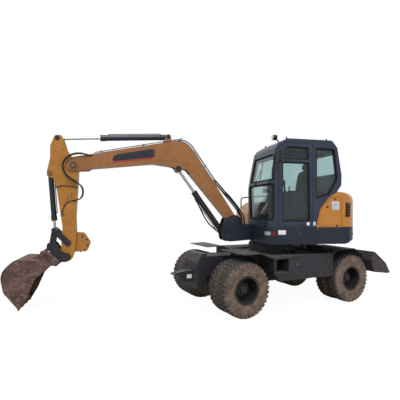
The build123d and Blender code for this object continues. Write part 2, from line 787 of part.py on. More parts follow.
def cab_block(offset):
    """The closed outer form of the cab, moved inwards by offset on all sides."""
    profile = side_prism(
        [
            (-395 + offset, DECK_TOP + offset, 0),
            (440 - offset, DECK_TOP + offset, 0),
            (467 - offset, 2020, 0),
            (340 - 0.8 * offset, 2690 - 0.5 * offset, 30),
            (284 - offset, 2766 - 0.8 * offset, 30),
            (131 - 0.6 * offset, 2855 - offset, 60),
            (-690 + 0.6 * offset, 2857 - offset, 60),
            (-792 + offset, 2734 - 0.5 * offset, 60),
            (-875 + offset, 2256, 60),
            (-867 + offset, 2090 + 0.3 * offset, 60),
            (-786 + 0.8 * offset, 1979 + 0.6 * offset, 0),
            (-635 + 0.8 * offset, 1891 + 0.6 * offset, 0),
            (-468 + offset, 1686 + 0.3 * offset, 0),
        ],
        CAB_RIGHT + offset,
        HOUSE_HALF_WIDTH - offset,
    )
    plan = plan_prism(
        [
            (-1000, CAB_RIGHT + offset, 0),
            (470 - offset, CAB_RIGHT + offset, 60),
            (470 - offset, HOUSE_HALF_WIDTH - offset, CORNER_RADIUS),
            (-1000, HOUSE_HALF_WIDTH - offset, 0),
        ],
        DECK_TOP - 10,
        3000,
    )
    return profile & plan


def door_outline(grow):
    """The door's outline as a prism through the left wall."""
    return side_prism(
        [
            (DOOR_REAR - grow, DOOR_BOTTOM - grow, 40),
            (DOOR_FRONT + grow, DOOR_BOTTOM - grow, 40),
            (DOOR_FRONT + grow, DOOR_TOP - 85, 40),
            (DOOR_FRONT - 130 + grow, DOOR_TOP + grow, 40),
            (DOOR_REAR - grow, DOOR_TOP + grow, 40),
        ],
        HOUSE_HALF_WIDTH - CAB_WALL - 30,
        HOUSE_HALF_WIDTH + 30,
    )


def door_panes(shrink):
    """The openings for the glass of the door: tall lower pane and small upper pane."""
    middle = HOUSE_HALF_WIDTH - CAB_WALL / 2
    half = GLASS / 2 if shrink else CAB_WALL
    lower = side_prism(
        [
            (DOOR_REAR + 38 + shrink, DOOR_BOTTOM + 70 + shrink, 40),
            (DOOR_FRONT - 60 - shrink, DOOR_BOTTOM + 70 + shrink, 40),
            (DOOR_FRONT - 60 - shrink, DOOR_TOP - 315 - shrink, 30),
            (DOOR_REAR + 60 + shrink, DOOR_TOP - 315 - shrink, 30),
        ],
        middle - half,
        middle + half,
    )
    upper = side_prism(
        [
            (DOOR_REAR + 65 + shrink, DOOR_TOP - 280 + shrink, 30),
            (DOOR_FRONT - 60 - shrink, DOOR_TOP - 280 + shrink, 30),
            (DOOR_FRONT - 92 - shrink, DOOR_TOP - 125 - shrink, 30),
            (DOOR_FRONT - 157 - shrink, DOOR_TOP - 60 - shrink, 30),
            (DOOR_REAR + 75 + shrink, DOOR_TOP - 60 - shrink, 30),
        ],
        middle - half,
        middle + half,
    )
    return [lower, upper]


def fixed_windows(shrink):
    """The other window openings, or their panes when shrink is above zero."""
    depth = GLASS / 2 if shrink else 120
    left_y = HOUSE_HALF_WIDTH - CAB_WALL / 2
    right_y = CAB_RIGHT + CAB_WALL / 2
    quarter = [
        (-385 - shrink, 1850 + shrink, 30),
        (-640 + shrink, 1915 + shrink, 30),
        (-800 + shrink, 2190, 60),
        (-745 + shrink, 2715 - shrink, 60),
        (-385 - shrink, 2725 - shrink, 30),
    ]
    rear_left = side_prism(quarter[::-1], left_y - depth, left_y + depth)
    right = [
        (370 - shrink, 1720 + shrink, 40),
        (385 - shrink, 2030, 30),
        (270 - shrink, 2640 - shrink, 60),
        (-700 + shrink, 2700 - shrink, 60),
        (-780 + shrink, 2190, 60),
        (-600 + shrink, 1980 + shrink, 30),
        (-400 + shrink, 1720 + shrink, 40),
    ]
    right_window = side_prism(right[::-1], right_y - depth, right_y + depth)
    return [rear_left, right_window]


def slanted_window(low, high, y_low, y_high, depth, inset):
    """A window in a slanted wall between two x, z places on its mid plane."""
    (x0, z0), (x1, z1) = low, high
    length = math.hypot(x1 - x0, z1 - z0) - 2 * inset
    tilt = math.degrees(math.atan2(x1 - x0, z1 - z0))
    middle = ((x0 + x1) / 2, (y_low + y_high) / 2, (z0 + z1) / 2)
    face = RectangleRounded(length, y_high - y_low - 2 * inset, 40)
    return Pos(*middle) * Rot(0, tilt - 90, 0) * extrude(face, depth, both=True)


def screen_opening(span, shrink):
    """The space of a front window, which wraps round the left front corner to its pillar."""
    low, high = span[0] + shrink, span[1] - shrink
    left = HOUSE_HALF_WIDTH - CAB_WALL - 2 - shrink
    right = CAB_RIGHT + 75 + shrink
    face = RectangleRounded(high - low, left - right, 40)
    front = Pos(200, (left + right) / 2, (low + high) / 2) * Rot(0, 90, 0) * extrude(face, 330, dir=(0, 0, 1))
    corner = side_prism(
        [
            (FRONT_PILLAR + shrink, low, 30),
            (530, low, 0),
            (530, high, 0),
            (FRONT_PILLAR + shrink, high, 30),
        ],
        left - 60,
        HOUSE_HALF_WIDTH + 30,
    )
    return front + corner


def rear_window(shrink):
    """The window in the rear wall, or its pane when shrink is above zero."""
    depth = GLASS / 2 if shrink else 90
    half = CAB_WALL / 2
    low = (-870 + half, 2270)
    high = (-802 + half, 2660)
    return slanted_window(low, high, CAB_RIGHT + 90, HOUSE_HALF_WIDTH - 100, depth, shrink)


def cab_shell():
    """The cab's hollow body with its window and door openings cut through."""
    body = cab_block(0) - cab_block(CAB_WALL)
    body -= door_outline(MOVING_GAP)
    for window in fixed_windows(0) + [rear_window(0)]:
        body -= window
    for span in (WINDSCREEN, LOWER_SCREEN):
        body -= screen_opening(span, 0)
    return body


def cab_glass():
    """The fixed panes, each a little smaller than its opening."""
    sheet = cab_block((CAB_WALL - GLASS) / 2) - cab_block((CAB_WALL + GLASS) / 2)
    screens = [sheet & screen_opening(span, SEAT_GAP) for span in (WINDSCREEN, LOWER_SCREEN)]
    return Compound(children=fixed_windows(SEAT_GAP) + [rear_window(SEAT_GAP)] + screens)


def cab_door():
    """The door frame, as thick as the cab wall."""
    wall = cab_block(0) - cab_block(CAB_WALL)
    body = wall & door_outline(0)
    for pane in door_panes(0):
        body -= pane
    handle = block(
        (DOOR_FRONT - 67, HOUSE_HALF_WIDTH - 1, 1960), (DOOR_FRONT - 20, HOUSE_HALF_WIDTH + 22, 1990)
    )
    x, y = DOOR_HINGE
    for z in (1560, 2150, 2600):
        body += block((x, HOUSE_HALF_WIDTH - 0.5, z), (x + 43, y, z + 52))
        body += Pos(x, y, z + 26) * Cylinder(5.5, 52)
    return body + handle


def door_glass():
    """The two panes of the door."""
    return Compound(children=door_panes(SEAT_GAP))


def console_places():
    """The middle lines of the right and the left console."""
    return CAB_RIGHT + CONSOLE_INSET + 40, HOUSE_HALF_WIDTH - CONSOLE_INSET


def seat():
    """The driver's seat with its box and headrest, between the consoles."""
    floor = DECK_TOP + CAB_WALL
    right, left = console_places()
    middle = (left + right) / 2
    half = (left - right) / 2 - 80
    base = block((-330, middle - half + 30, floor), (110, middle + half - 30, floor + 280))
    cushion = side_prism(
        [
            (-370, floor + 280, 20),
            (160, floor + 290, 40),
            (160, floor + 400, 40),
            (-330, floor + 370, 30),
            (-430, floor + 960, 40),
            (-530, floor + 940, 40),
        ],
        middle - half,
        middle + half,
    )
    return base + cushion


def controls():
    """Steering column with wheel and both armrest consoles."""
    floor = DECK_TOP + CAB_WALL
    places = console_places()
    middle = (places[0] + places[1]) / 2 - 10
    way = (-90, 0, 620)
    column = round_bar((300, middle, floor), (300 + way[0], middle, floor + way[2]), 40)
    column -= block((200, middle - 60, floor - 60), (400, middle + 60, floor))
    rim = Plane(origin=(198, middle, floor + 636), z_dir=way)
    wheel = column + rim * Torus(160, 14) + rim * Cylinder(45, 60) + rim * Box(320, 30, 14)
    consoles = [
        block((-250, y - 60, floor), (130, y + 60, floor + 520)) + round_bar(
            (90, y, floor + 500), (110, y, floor + 700), 16)
        for y in places
    ]
    return Compound(children=[wheel] + consoles)


def corner_lamp():
    """The marker lamp that follows the deck's left front corner."""
    proud = 8
    outer = plan_prism(
        [
            (0, 0, 0),
            (HOUSE_FRONT + proud, 0, 0),
            (HOUSE_FRONT + proud, HOUSE_HALF_WIDTH + proud, CORNER_RADIUS + proud),
            (0, HOUSE_HALF_WIDTH + proud, 0),
        ],
        1240,
        1305,
    )
    low = (HOUSE_FRONT - CORNER_RADIUS + 30, HOUSE_HALF_WIDTH - CORNER_RADIUS - 40, 1200)
    span = block(low, (HOUSE_FRONT + 30, WIDE, 1400))
    return (outer & span) - plan_outline_to_front()


def lamps():
    """Work lamp leaning forward on the roof's front edge, and the corner's marker lamp."""
    y = HOUSE_HALF_WIDTH - 230
    stalk = round_bar((165, y, 2815), (240, y, 2885), 10) - cab_block(0)
    head = Pos(262, y, 2903) * Rot(0, 90, 0) * Cylinder(46, 70)
    return Compound(children=[stalk + head, corner_lamp()])


def rails_and_mirrors():
    """Left mirror on its bracket and the handrail on the right."""
    pillar = HOUSE_HALF_WIDTH - 50
    arm = round_bar((330, pillar, 2600), (342, pillar + 130, 2590), 11)
    head = block((318, pillar + 115, 2425), (366, pillar + 270, 2665))
    head = fillet(head.edges().filter_by(Axis.X), 34)
    mirror_set = (arm + head) - cab_block(0)
    y = 70 - HOUSE_HALF_WIDTH
    rail = round_bar((330, y, 1640), (330, y, 1900), 14)
    rail += round_bar((330, y, 1900), (-250, y, 1960), 14)
    rail += round_bar((-250, y, 1960), (-250, y, 1800), 14)
    rail -= tank_cover()
    return Compound(children=[mirror_set, rail])


# Front equipment, all about the boom plane

def centred(width):
    """The low and high y of a piece of this width on the boom plane."""
    return BOOM_Y - width / 2, BOOM_Y + width / 2


def boom():
    """The bent box boom with its pin bosses, cylinder pocket and pivot fork."""
    half = BOOM_WIDTH / 2
    fx, fz = BOOM_FOOT
    rx, rz = BOOM_ROD_PIN
    px, pz = ARM_PIVOT
    outline = [
        (fx - 105, fz - 20, 70),
        (fx + 16, fz - 117, 70),
        (rx - 217, rz - 94, 60),
        (rx - 120, rz + 20, 60),
        (rx - 20, rz - 62, 50),
        (rx + 110, rz + 35, 60),
        (rx + 466, rz + 78, 500),
        (px - 300, pz - 48, 60),
        (px - 230, pz - 85, 40),
        (px + 90, pz - 100, 110),
        (px + 160, pz + 50, 110),
        (px + 60, pz + 133, 90),
        (1671, 2937, 450),
    ]
    body = side_prism(outline, *centred(BOOM_WIDTH))
    gap = centred(BOOM_WIDTH - 2 * POCKET_WALL)
    pocket = side_prism(
        [
            (rx - 260, rz - 90, 0),
            (rx + 170, rz - 90, 0),
            (rx + 120, rz + 130, 90),
            (rx - 170, rz + 130, 90),
        ],
        *gap,
    )
    body -= pocket
    eye_half = BOOM_BARREL_RADIUS - 10
    for low, high in ((-half, -eye_half - MOVING_GAP), (eye_half + MOVING_GAP, half)):
        body += cross_pin(BOOM_ROD_PIN, 45, BOOM_Y + low, BOOM_Y + high)
    body -= cross_pin(ARM_PIVOT, FORK_RADIUS, *centred(ARM_WIDTH + 2 * MOVING_GAP))
    body += cross_pin(ARM_PIVOT, 34, *centred(BOOM_WIDTH + 40))
    for low, high in ((-half - 14, -half + 1), (half - 1, half + 14)):
        body += cross_pin(ARM_PIVOT, 80, BOOM_Y + low, BOOM_Y + high)
    body -= cross_pin(BOOM_FOOT, PIN_RADIUS + PIN_CLEARANCE, *centred(400))
    ax, az = ARM_CYLINDER_FOOT
    low = ARM_BARREL_RADIUS + MOVING_GAP
    for a, b in ((-low - 20, -low), (low, low + 20)):
        body += web(ARM_CYLINDER_FOOT, (ax + 20, az - 150), 45, 90, BOOM_Y + a, BOOM_Y + b)
    body += cross_pin(ARM_CYLINDER_FOOT, 28, *centred(2 * low + 50))
    return body


def boom_pipes():
    """Steel pipes up the rear of the boom and over its bend, the outer pair out to its end."""
    route = [(1130, 2205), (1490, 2710), (1660, 2952), (1900, 2912), (3290, 2622)]
    bends = [900, 330, 250]
    pipes = []
    for y, last in ((-90, 5), (-62, 4), (62, 4), (90, 5)):
        stop = route[: last - 1] + ([route[4]] if last == 5 else [(1930, 2905)])
        points = [(x, BOOM_Y + y, z) for x, z in stop]
        path = FilletPolyline(*points, radius=bends[: len(points) - 2])
        pipes.append(sweep(Plane(origin=path @ 0, z_dir=path % 0) * Circle(9), path))
    plate = boom()
    body = pipes[0] + pipes[1] + pipes[2] + pipes[3]
    for x, z, tilt in PIPE_CLAMPS:
        strip = Pos(x, BOOM_Y, z) * Rot(0, tilt, 0) * Pos(0, 0, -28) * Box(36, 204, 82)
        body += strip - plate
    return body


def boom_barrel():
    return cylinder_barrel(
        BOOM_CYLINDER_FOOT, BOOM_ROD_PIN, 50, BOOM_BARREL_RADIUS, BOOM_BARREL_LENGTH, BOOM_Y,
        2 * BOOM_BARREL_RADIUS, 26.1, PIN_RADIUS,
    )


def boom_rod():
    return cylinder_rod(BOOM_CYLINDER_FOOT, BOOM_ROD_PIN, 46, 26, 480, BOOM_Y, 2 * BOOM_BARREL_RADIUS - 20, 28)


def arm():
    """The arm with its pivot, cylinder ears, bolted lobe plates and round tip."""
    px, pz = ARM_PIVOT
    kx, kz = BUCKET_PIN
    bx, bz = BUCKET_CYLINDER_FOOT
    rx, rz = ARM_ROD_PIN
    outline = [
        (rx - 75, rz + 50, 40),
        (rx + 40, rz + 55, 45),
        (rx + 112, rz - 132, 20),
        (rx + 110, rz - 350, 200),
        (bx + 48, bz + 40, 30),
        (bx + 48, bz - 45, 40),
        (bx - 70, bz - 95, 60),
        (3898, 1960, 300),
        (3795, 1330, 100),
        (kx + 85, kz + 120, 60),
        (kx + 85, kz - 80, 80),
        (kx - 80, kz - 80, 80),
        (3582, 940, 60),
        (3565, 1160, 200),
        (3583, 1520, 400),
        (3553, 2220, 200),
        (px - 85, pz - 10, 60),
        (3680, 2545, 80),
        (3750, 2650, 80),
    ]
    body = side_prism(outline, *centred(ARM_WIDTH))
    body -= cross_pin(ARM_PIVOT, 34 + PIN_CLEARANCE, *centred(400))
    rod_gap = side_prism(
        [
            (rx - 200, rz - 270, 0),
            (rx - 35, rz - 125, 30),
            (rx + 300, rz - 125, 0),
            (rx + 300, rz + 200, 0),
            (rx - 200, rz + 200, 0),
        ],
        *centred(ARM_WIDTH - 2 * ARM_EAR_WALL),
    )
    body -= rod_gap
    barrel_gap = cross_pin(BUCKET_CYLINDER_FOOT, 62, *centred(2 * BUCKET_BARREL_RADIUS + 2 * MOVING_GAP))
    barrel_gap += side_prism(
        [(bx - 75, bz - 200, 0), (bx + 90, bz - 200, 0), (bx + 62, bz, 0), (bx - 62, bz, 0)],
        *centred(2 * BUCKET_BARREL_RADIUS + 2 * MOVING_GAP),
    )
    body -= barrel_gap
    body += cross_pin(BUCKET_CYLINDER_FOOT, 25, *centred(ARM_WIDTH + 16))
    body += cross_pin(ROCKER_PIN, 28, *centred(ARM_WIDTH + 70))
    body -= cross_pin(BUCKET_PIN, 30 + PIN_CLEARANCE, *centred(400))
    lobe = side_prism(
        [(3600, 1235, 10), (3440, 1230, 60), (3330, 1060, 70), (3390, 905, 60), (3600, 900, 10)],
        *centred(60),
    )
    return body + lobe


def arm_barrel():
    return cylinder_barrel(
        ARM_CYLINDER_FOOT, ARM_ROD_PIN, 44, ARM_BARREL_RADIUS, 1200, BOOM_Y, 2 * ARM_BARREL_RADIUS, 25.1, 28
    )


def arm_rod():
    return cylinder_rod(
        ARM_CYLINDER_FOOT, ARM_ROD_PIN, 45, 25, 680, BOOM_Y,
        ARM_WIDTH - 2 * ARM_EAR_WALL - 2 * MOVING_GAP, 28,
    )


def bucket_barrel():
    return cylinder_barrel(
        BUCKET_CYLINDER_FOOT, LINK_PIN, 42, BUCKET_BARREL_RADIUS, 810, BOOM_Y, 2 * BUCKET_BARREL_RADIUS,
        22.1, 25,
    )


def bucket_rod():
    return cylinder_rod(BUCKET_CYLINDER_FOOT, LINK_PIN, 38, 22, 200, BOOM_Y, 60, 24)


def rocker():
    """The pair of rocker plates beside the arm, each with its own pin stub for the link."""
    low = ARM_WIDTH / 2 + MOVING_GAP
    high = low + 20
    plates = []
    for side in (-1, 1):
        a, b = sorted((BOOM_Y + side * low, BOOM_Y + side * high))
        plate = web(ROCKER_PIN, LINK_PIN, 52, 44, a, b)
        plate -= cross_pin(ROCKER_PIN, 28 + PIN_CLEARANCE, a - 5, b + 5)
        c, d = sorted((BOOM_Y + side * (LINK_INNER + 2), BOOM_Y + side * (high + 8)))
        plates.append(plate + cross_pin(LINK_PIN, 24, c, d))
    return Compound(children=plates)


def link():
    """The link from the rocker to the coupler: two plates joined by a web near the coupler."""
    body = None
    for side in (-1, 1):
        a, b = sorted((BOOM_Y + side * LINK_INNER, BOOM_Y + side * LINK_OUTER))
        plate = web(LINK_PIN, COUPLER_PIN, 42, 42, a, b)
        plate -= cross_pin(LINK_PIN, 24 + PIN_CLEARANCE, a - 5, b + 5)
        body = plate if body is None else body + plate
    share = 0.72
    x = LINK_PIN[0] + share * (COUPLER_PIN[0] - LINK_PIN[0])
    z = LINK_PIN[1] + share * (COUPLER_PIN[1] - LINK_PIN[1])
    body += block((x - 20, BOOM_Y - LINK_OUTER, z - 40), (x + 20, BOOM_Y + LINK_OUTER, z + 40))
    return body


def coupler():
    """The quick coupler: two cheeks about the arm's tip, joined below by a box between them."""
    kx, kz = BUCKET_PIN
    tx, tz = COUPLER_PIN
    outline = [
        (kx - 70, kz + 44, 50),
        (kx - 82, kz - 88, 80),
        (kx + 80, kz - 90, 40),
        (kx + 150, kz - 162, 30),
        (kx + 190, kz - 150, 15),
        (kx + 196, kz - 98, 0),
        (kx + 310, kz - 46, 50),
        (tx + 72, tz - 60, 60),
        (tx + 65, tz + 55, 50),
        (tx - 60, tz + 62, 50),
        (kx + 60, kz + 82, 80),
    ]
    low, high = centred(2 * COUPLER_HALF_WIDTH)
    body = side_prism(outline, low, high)
    slot = centred(ARM_WIDTH + 2 * MOVING_GAP)
    body -= cross_pin(BUCKET_PIN, 120, *slot)
    body -= side_prism(
        [
            (kx - 200, kz - 200, 0),
            (kx + 40, kz - 200, 0),
            (kx + 118, kz - 20, 40),
            (tx - 70, tz - 75, 40),
            (tx + 200, tz - 60, 0),
            (tx + 200, tz + 200, 0),
            (kx - 200, tz + 200, 0),
        ],
        *slot,
    )
    body += cross_pin(BUCKET_PIN, 30, low - 8, high + 8)
    for pin in (BUCKET_FRONT_PIN, BUCKET_REAR_PIN):
        body -= cross_pin(pin, 30 + SEAT_GAP, low - 30, high + 30)
    return body


def bucket_point(u, v):
    """A place in the bucket's side view, u along the mouth from its lip and v into the shell."""
    dx = BUCKET_EDGE[0] - BUCKET_LIP[0]
    dz = BUCKET_EDGE[1] - BUCKET_LIP[1]
    size = math.hypot(dx, dz)
    ux, uz = dx / size, dz / size
    return BUCKET_LIP[0] + u * ux - v * uz, BUCKET_LIP[1] + u * uz + v * ux


def bucket_prism(corners, low, high):
    """A bucket outline of u, v and corner radius made solid from y = low to y = high."""
    return side_prism([(*bucket_point(u, v), r) for u, v, r in corners], low, high)


def bucket():
    """The bucket: rolled shell, side plates, cutting edge, teeth and the ears with their pins."""
    mouth = math.hypot(BUCKET_EDGE[0] - BUCKET_LIP[0], BUCKET_EDGE[1] - BUCKET_LIP[1])
    wall = BUCKET_SHELL
    shell = [
        (0, 0, 0),
        (35, 235, 60),
        (180, 500, 180),
        (480, 560, 240),
        (700, 340, 150),
        (mouth - 20, 0, 0),
        (570, 15, 0),
        (290, 70, 200),
    ]
    inner = [
        (-60, -60, 0),
        (wall + 2, 0, 0),
        (35 + wall, 228, 50),
        (190, 500 - wall - 4, 165),
        (476, 560 - wall - 6, 225),
        (700 - wall, 334, 135),
        (mouth - 20 - 2 * wall, 0, 0),
        (mouth, -60, 0),
    ]
    low, high = centred(BUCKET_WIDTH)
    body = bucket_prism(shell, low, high)
    body -= bucket_prism(inner, low + wall, high - wall)
    tooth = [
        (mouth - 74, 62, 0),
        (mouth - 44, 72, 0),
        (mouth - 2, -2, 0),
        (mouth - 14, -8, 0),
        (mouth - 58, 22, 0),
    ]
    step = (BUCKET_WIDTH - 90) / (TOOTH_COUNT - 1)
    for i in range(TOOTH_COUNT):
        y = low + 45 + i * step
        body += bucket_prism(tooth, y - 32, y + 32)
    start = COUPLER_HALF_WIDTH + 8 + MOVING_GAP
    end = start + EAR_WALL
    fx, fz = BUCKET_FRONT_PIN
    rx, rz = BUCKET_REAR_PIN
    ear = [
        (fx - 52, fz + 20, 45),
        (fx - 40, fz - 50, 45),
        (*bucket_point(30, -5), 0),
        (*bucket_point(60, 200), 0),
        (*bucket_point(80, 330), 0),
        (rx + 62, rz - 30, 40),
        (rx + 40, rz + 55, 50),
        (rx - 60, rz + 45, 50),
    ]
    for side in (-1, 1):
        a, b = sorted((BOOM_Y + side * start, BOOM_Y + side * end))
        body += side_prism(ear, a, b)
    for pin in (BUCKET_FRONT_PIN, BUCKET_REAR_PIN):
        body += cross_pin(pin, 30, BOOM_Y - end - 20, BOOM_Y + end + 20)
    return body


def hose(points, radius):
    """A hose along a smooth curve through the points."""
    path = Spline(*points)
    return sweep(Plane(origin=path @ 0, z_dir=path % 0) * Circle(radius), path)


def hoses_house_boom():
    """Hoses from the deck's nose to the lower ends of the boom pipes."""
    below = block((480, BOOM_Y - 150, DECK_TOP - 60), (600, BOOM_Y + 150, DECK_TOP))
    hoses = []
    for y in (-90, -62, 62, 90):
        line = BOOM_Y + y
        points = [(540, line, DECK_TOP - 10), (585, line, 1560), (760, line, 1790), (960, line, 2020)]
        hoses.append(hose(points + [(1128, line, 2202)], 9) - below)
    return Compound(children=hoses)


def hoses_boom_arm():
    """Hoses that loop from the boom's end round the pivot to the arm."""
    half = BOOM_WIDTH / 2
    return Compound(
        children=[
            hose([(3330, BOOM_Y + half + 9.3, 2560), (3540, BOOM_Y + y, 2590), (3800, BOOM_Y + y, 2420),
                  (3700, BOOM_Y + y, 2180), (3500, BOOM_Y + y, 2040), (3480, BOOM_Y + y, 1860),
                  (3640, BOOM_Y + ARM_WIDTH / 2 + 9.3, 1780)], 9)
            for y in (half + 32, half + 54)
        ]
    )


# Placing and writing

def ground_frame(shape):
    """Undercarriage pieces already stand in the machine's frame."""
    return shape


def house_frame(shape):
    """Pieces of the upper structure, turned about the swing axis as the machine stands."""
    return Pos(SWING_X, 0, 0) * Rot(0, 0, HOUSE_TURN) * shape


NODES = {
    "chassis_frame": (ground_frame, chassis_frame),
    "side_box_left": (ground_frame, lambda: side_box(1)),
    "side_box_right": (ground_frame, lambda: side_box(-1)),
    "locker_door_left": (ground_frame, lambda: locker_door(1)),
    "locker_door_right": (ground_frame, lambda: locker_door(-1)),
    "front_axle": (ground_frame, front_axle),
    "rear_axle": (ground_frame, rear_axle),
    "drive_shaft": (ground_frame, drive_shaft),
    "knuckle_left": (ground_frame, lambda: knuckle(1)),
    "knuckle_right": (ground_frame, lambda: knuckle(-1)),
    "tie_rod": (ground_frame, tie_rod),
    "blade": (ground_frame, blade),
    "blade_barrel": (ground_frame, blade_barrel),
    "blade_rod": (ground_frame, blade_rod),
    "deck_frame": (house_frame, deck_frame),
    "counterweight": (house_frame, counterweight),
    "engine_cover": (house_frame, engine_cover),
    "engine_hood": (house_frame, engine_hood),
    "side_cover": (house_frame, side_cover),
    "engine_block": (house_frame, engine_block),
    "tank_cover": (house_frame, tank_cover),
    "cab_shell": (house_frame, cab_shell),
    "cab_glass": (house_frame, cab_glass),
    "cab_door": (house_frame, cab_door),
    "door_glass": (house_frame, door_glass),
    "seat": (house_frame, seat),
    "controls": (house_frame, controls),
    "lamps": (house_frame, lamps),
    "rails_and_mirrors": (house_frame, rails_and_mirrors),
    "boom": (house_frame, boom),
    "boom_pipes": (house_frame, boom_pipes),
    "boom_barrel": (house_frame, boom_barrel),
    "boom_rod": (house_frame, boom_rod),
    "arm": (house_frame, arm),
    "arm_barrel": (house_frame, arm_barrel),
    "arm_rod": (house_frame, arm_rod),
    "bucket_barrel": (house_frame, bucket_barrel),
    "bucket_rod": (house_frame, bucket_rod),
    "rocker": (house_frame, rocker),
    "link": (house_frame, link),
    "coupler": (house_frame, coupler),
    "bucket": (house_frame, bucket),
    "hoses_house_boom": (house_frame, hoses_house_boom),
    "hoses_boom_arm": (house_frame, hoses_boom_arm),
}
for place, (wheel_x, wheel_side) in WHEELS.items():
    NODES[f"tyres_{place}"] = (ground_frame, lambda x=wheel_x, s=wheel_side: tyres(x, s))
    NODES[f"rims_{place}"] = (ground_frame, lambda x=wheel_x, s=wheel_side: rims(x, s))

# The part's own origin lies on the ground under the middle of the whole machine's box
ORIGIN_X = 1130
ORIGIN_Y = -265

for name, (frame, make) in NODES.items():
    export_step(Pos(-ORIGIN_X, -ORIGIN_Y, 0) * frame(make()), f"parts/{name}.step")
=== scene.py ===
"""Looks of the wheeled excavator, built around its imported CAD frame.

The CAD nodes stay where they are and get their finishes here. Tyres, cab cushions and the
hoses that cross a joint are built again with their real form, and every sub-assembly adds
the small parts that a photograph of the machine shows.
"""
from __future__ import annotations

import logging
import math
from dataclasses import dataclass
from enum import Enum
from typing import Any, Callable, ClassVar, Iterable, NamedTuple, Sequence

import bmesh
import bpy
from mathutils import Matrix, Vector

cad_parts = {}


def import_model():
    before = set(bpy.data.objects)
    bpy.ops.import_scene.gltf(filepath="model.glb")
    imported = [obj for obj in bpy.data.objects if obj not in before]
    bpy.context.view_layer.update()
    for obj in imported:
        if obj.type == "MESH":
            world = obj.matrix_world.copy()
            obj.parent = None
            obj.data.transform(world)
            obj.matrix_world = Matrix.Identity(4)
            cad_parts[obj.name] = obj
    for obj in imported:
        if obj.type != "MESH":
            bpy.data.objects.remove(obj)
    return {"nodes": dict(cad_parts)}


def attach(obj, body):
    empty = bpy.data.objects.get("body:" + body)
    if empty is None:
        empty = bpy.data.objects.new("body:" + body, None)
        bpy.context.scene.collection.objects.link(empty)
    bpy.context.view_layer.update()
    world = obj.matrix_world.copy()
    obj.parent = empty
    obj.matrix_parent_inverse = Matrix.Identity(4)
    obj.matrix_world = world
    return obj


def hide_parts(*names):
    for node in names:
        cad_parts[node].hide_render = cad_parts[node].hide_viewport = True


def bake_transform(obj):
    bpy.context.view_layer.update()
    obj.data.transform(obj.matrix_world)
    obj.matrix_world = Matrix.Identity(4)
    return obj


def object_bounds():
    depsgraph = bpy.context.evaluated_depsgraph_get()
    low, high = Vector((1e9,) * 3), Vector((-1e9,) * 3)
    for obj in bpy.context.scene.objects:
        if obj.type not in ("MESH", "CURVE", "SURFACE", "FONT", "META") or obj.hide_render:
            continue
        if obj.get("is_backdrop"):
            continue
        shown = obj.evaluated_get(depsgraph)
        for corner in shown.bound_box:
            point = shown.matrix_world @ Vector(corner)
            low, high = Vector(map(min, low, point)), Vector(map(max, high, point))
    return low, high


LOG = logging.getLogger("excavator")
MM = 0.001
Point = tuple[float, float, float]
Flat = tuple[float, float]
Tree = bpy.types.NodeTree
Object = bpy.types.Object
Mesh = bpy.types.Mesh
# Two coordinates and the radius of the rounding
Corner = tuple[float, float, float]
# Straight runs in a rounded corner
CORNER_STEPS = 5
# Longest run of an outline whose band bends
LONGEST_RUN = 24.0
# Faces that meet at a smaller angle are shaded as one, in degrees
SMOOTH = 35.0
# Each side's sign along Y and its name
SIDES = ((1, "left"), (-1, "right"))
# The middle of the wheelbase on the ground, in metres in the frame
MIDDLE = (-1.130, 0.265, 0.0)
# The swing axis, in millimetres from there, and how far the house is turned, in degrees
SWING_X = -64.0
SWING = -15.46


class Site(Enum):
    """The two layouts that sizes are given in, both in millimetres."""

    GROUND = "from the middle of the wheelbase"
    HOUSE = "from the swing axis, turned with the upper structure"

    def matrix(self) -> Matrix:
        """The way from this layout to the frame in metres.

        Returns:
            A matrix for a mesh that is laid out in this site's millimetres.
        """
        scale = Matrix.Scale(MM, 4)
        if self is Site.GROUND:
            return Matrix.Translation(MIDDLE) @ scale
        axis = Vector(MIDDLE) + Vector((SWING_X, 0, 0)) * MM
        return Matrix.Translation(axis) @ Matrix.Rotation(math.radians(SWING), 4, "Z") @ scale

    def place(self, point: Point) -> Vector:
        """One point of this layout in the frame, in metres."""
        return self.matrix() @ Vector(point)


# Colour and node helpers. Each takes the node tree first, then values or sockets, and hands back
# the socket of its result; places are object coordinates in metres, shares lie between 0 and 1.


def linear(colour: str) -> tuple[float, float, float, float]:
    """Turn an sRGB hex colour to the linear values that the shaders use.

    Args:
        colour: Six hex digits.
    """
    values = [int(colour[i : i + 2], 16) / 255 for i in (0, 2, 4)]
    out = [v / 12.92 if v <= 0.04045 else ((v + 0.055) / 1.055) ** 2.4 for v in values]
    return out[0], out[1], out[2], 1.0


def add(tree: Tree, kind: str, inputs: dict[Any, Any] | None = None, **settings: Any) -> Any:
    """Add one node and hand it back.

    Args:
        tree: The node tree that gets the node.
        kind: The node's type name.
        inputs: Input names or numbers, each with a value or an output socket to link.
        settings: Attributes of the node itself.
    """
    node = tree.nodes.new(kind)
    for name, value in settings.items():
        setattr(node, name, value)
    for name, value in (inputs or {}).items():
        if isinstance(value, bpy.types.NodeSocket):
            tree.links.new(value, node.inputs[name])
        else:
            node.inputs[name].default_value = value
    return node


def blend_colour(tree: Tree, share: Any, low: Any, high: Any) -> Any:
    """Mix two colours: the low one where the share is nought, the high one where it is one."""
    return add(tree, "ShaderNodeMix", {0: share, 6: low, 7: high}, data_type="RGBA").outputs[2]


def spread(tree: Tree, value: Any, low: float, high: float, share: float) -> Any:
    """Stretch a pattern, so that its low value gives nought and its high value the share."""
    inputs = {"Value": value, "From Min": low, "From Max": high, "To Max": share}
    return add(tree, "ShaderNodeMapRange", inputs).outputs["Result"]


def calculate(tree: Tree, operation: str, first: Any, second: Any, clamp: bool = False) -> Any:
    """One sum on two values, held between nought and one if clamped."""
    values = {0: first, 1: second}
    return add(tree, "ShaderNodeMath", values, operation=operation, use_clamp=clamp).outputs[0]


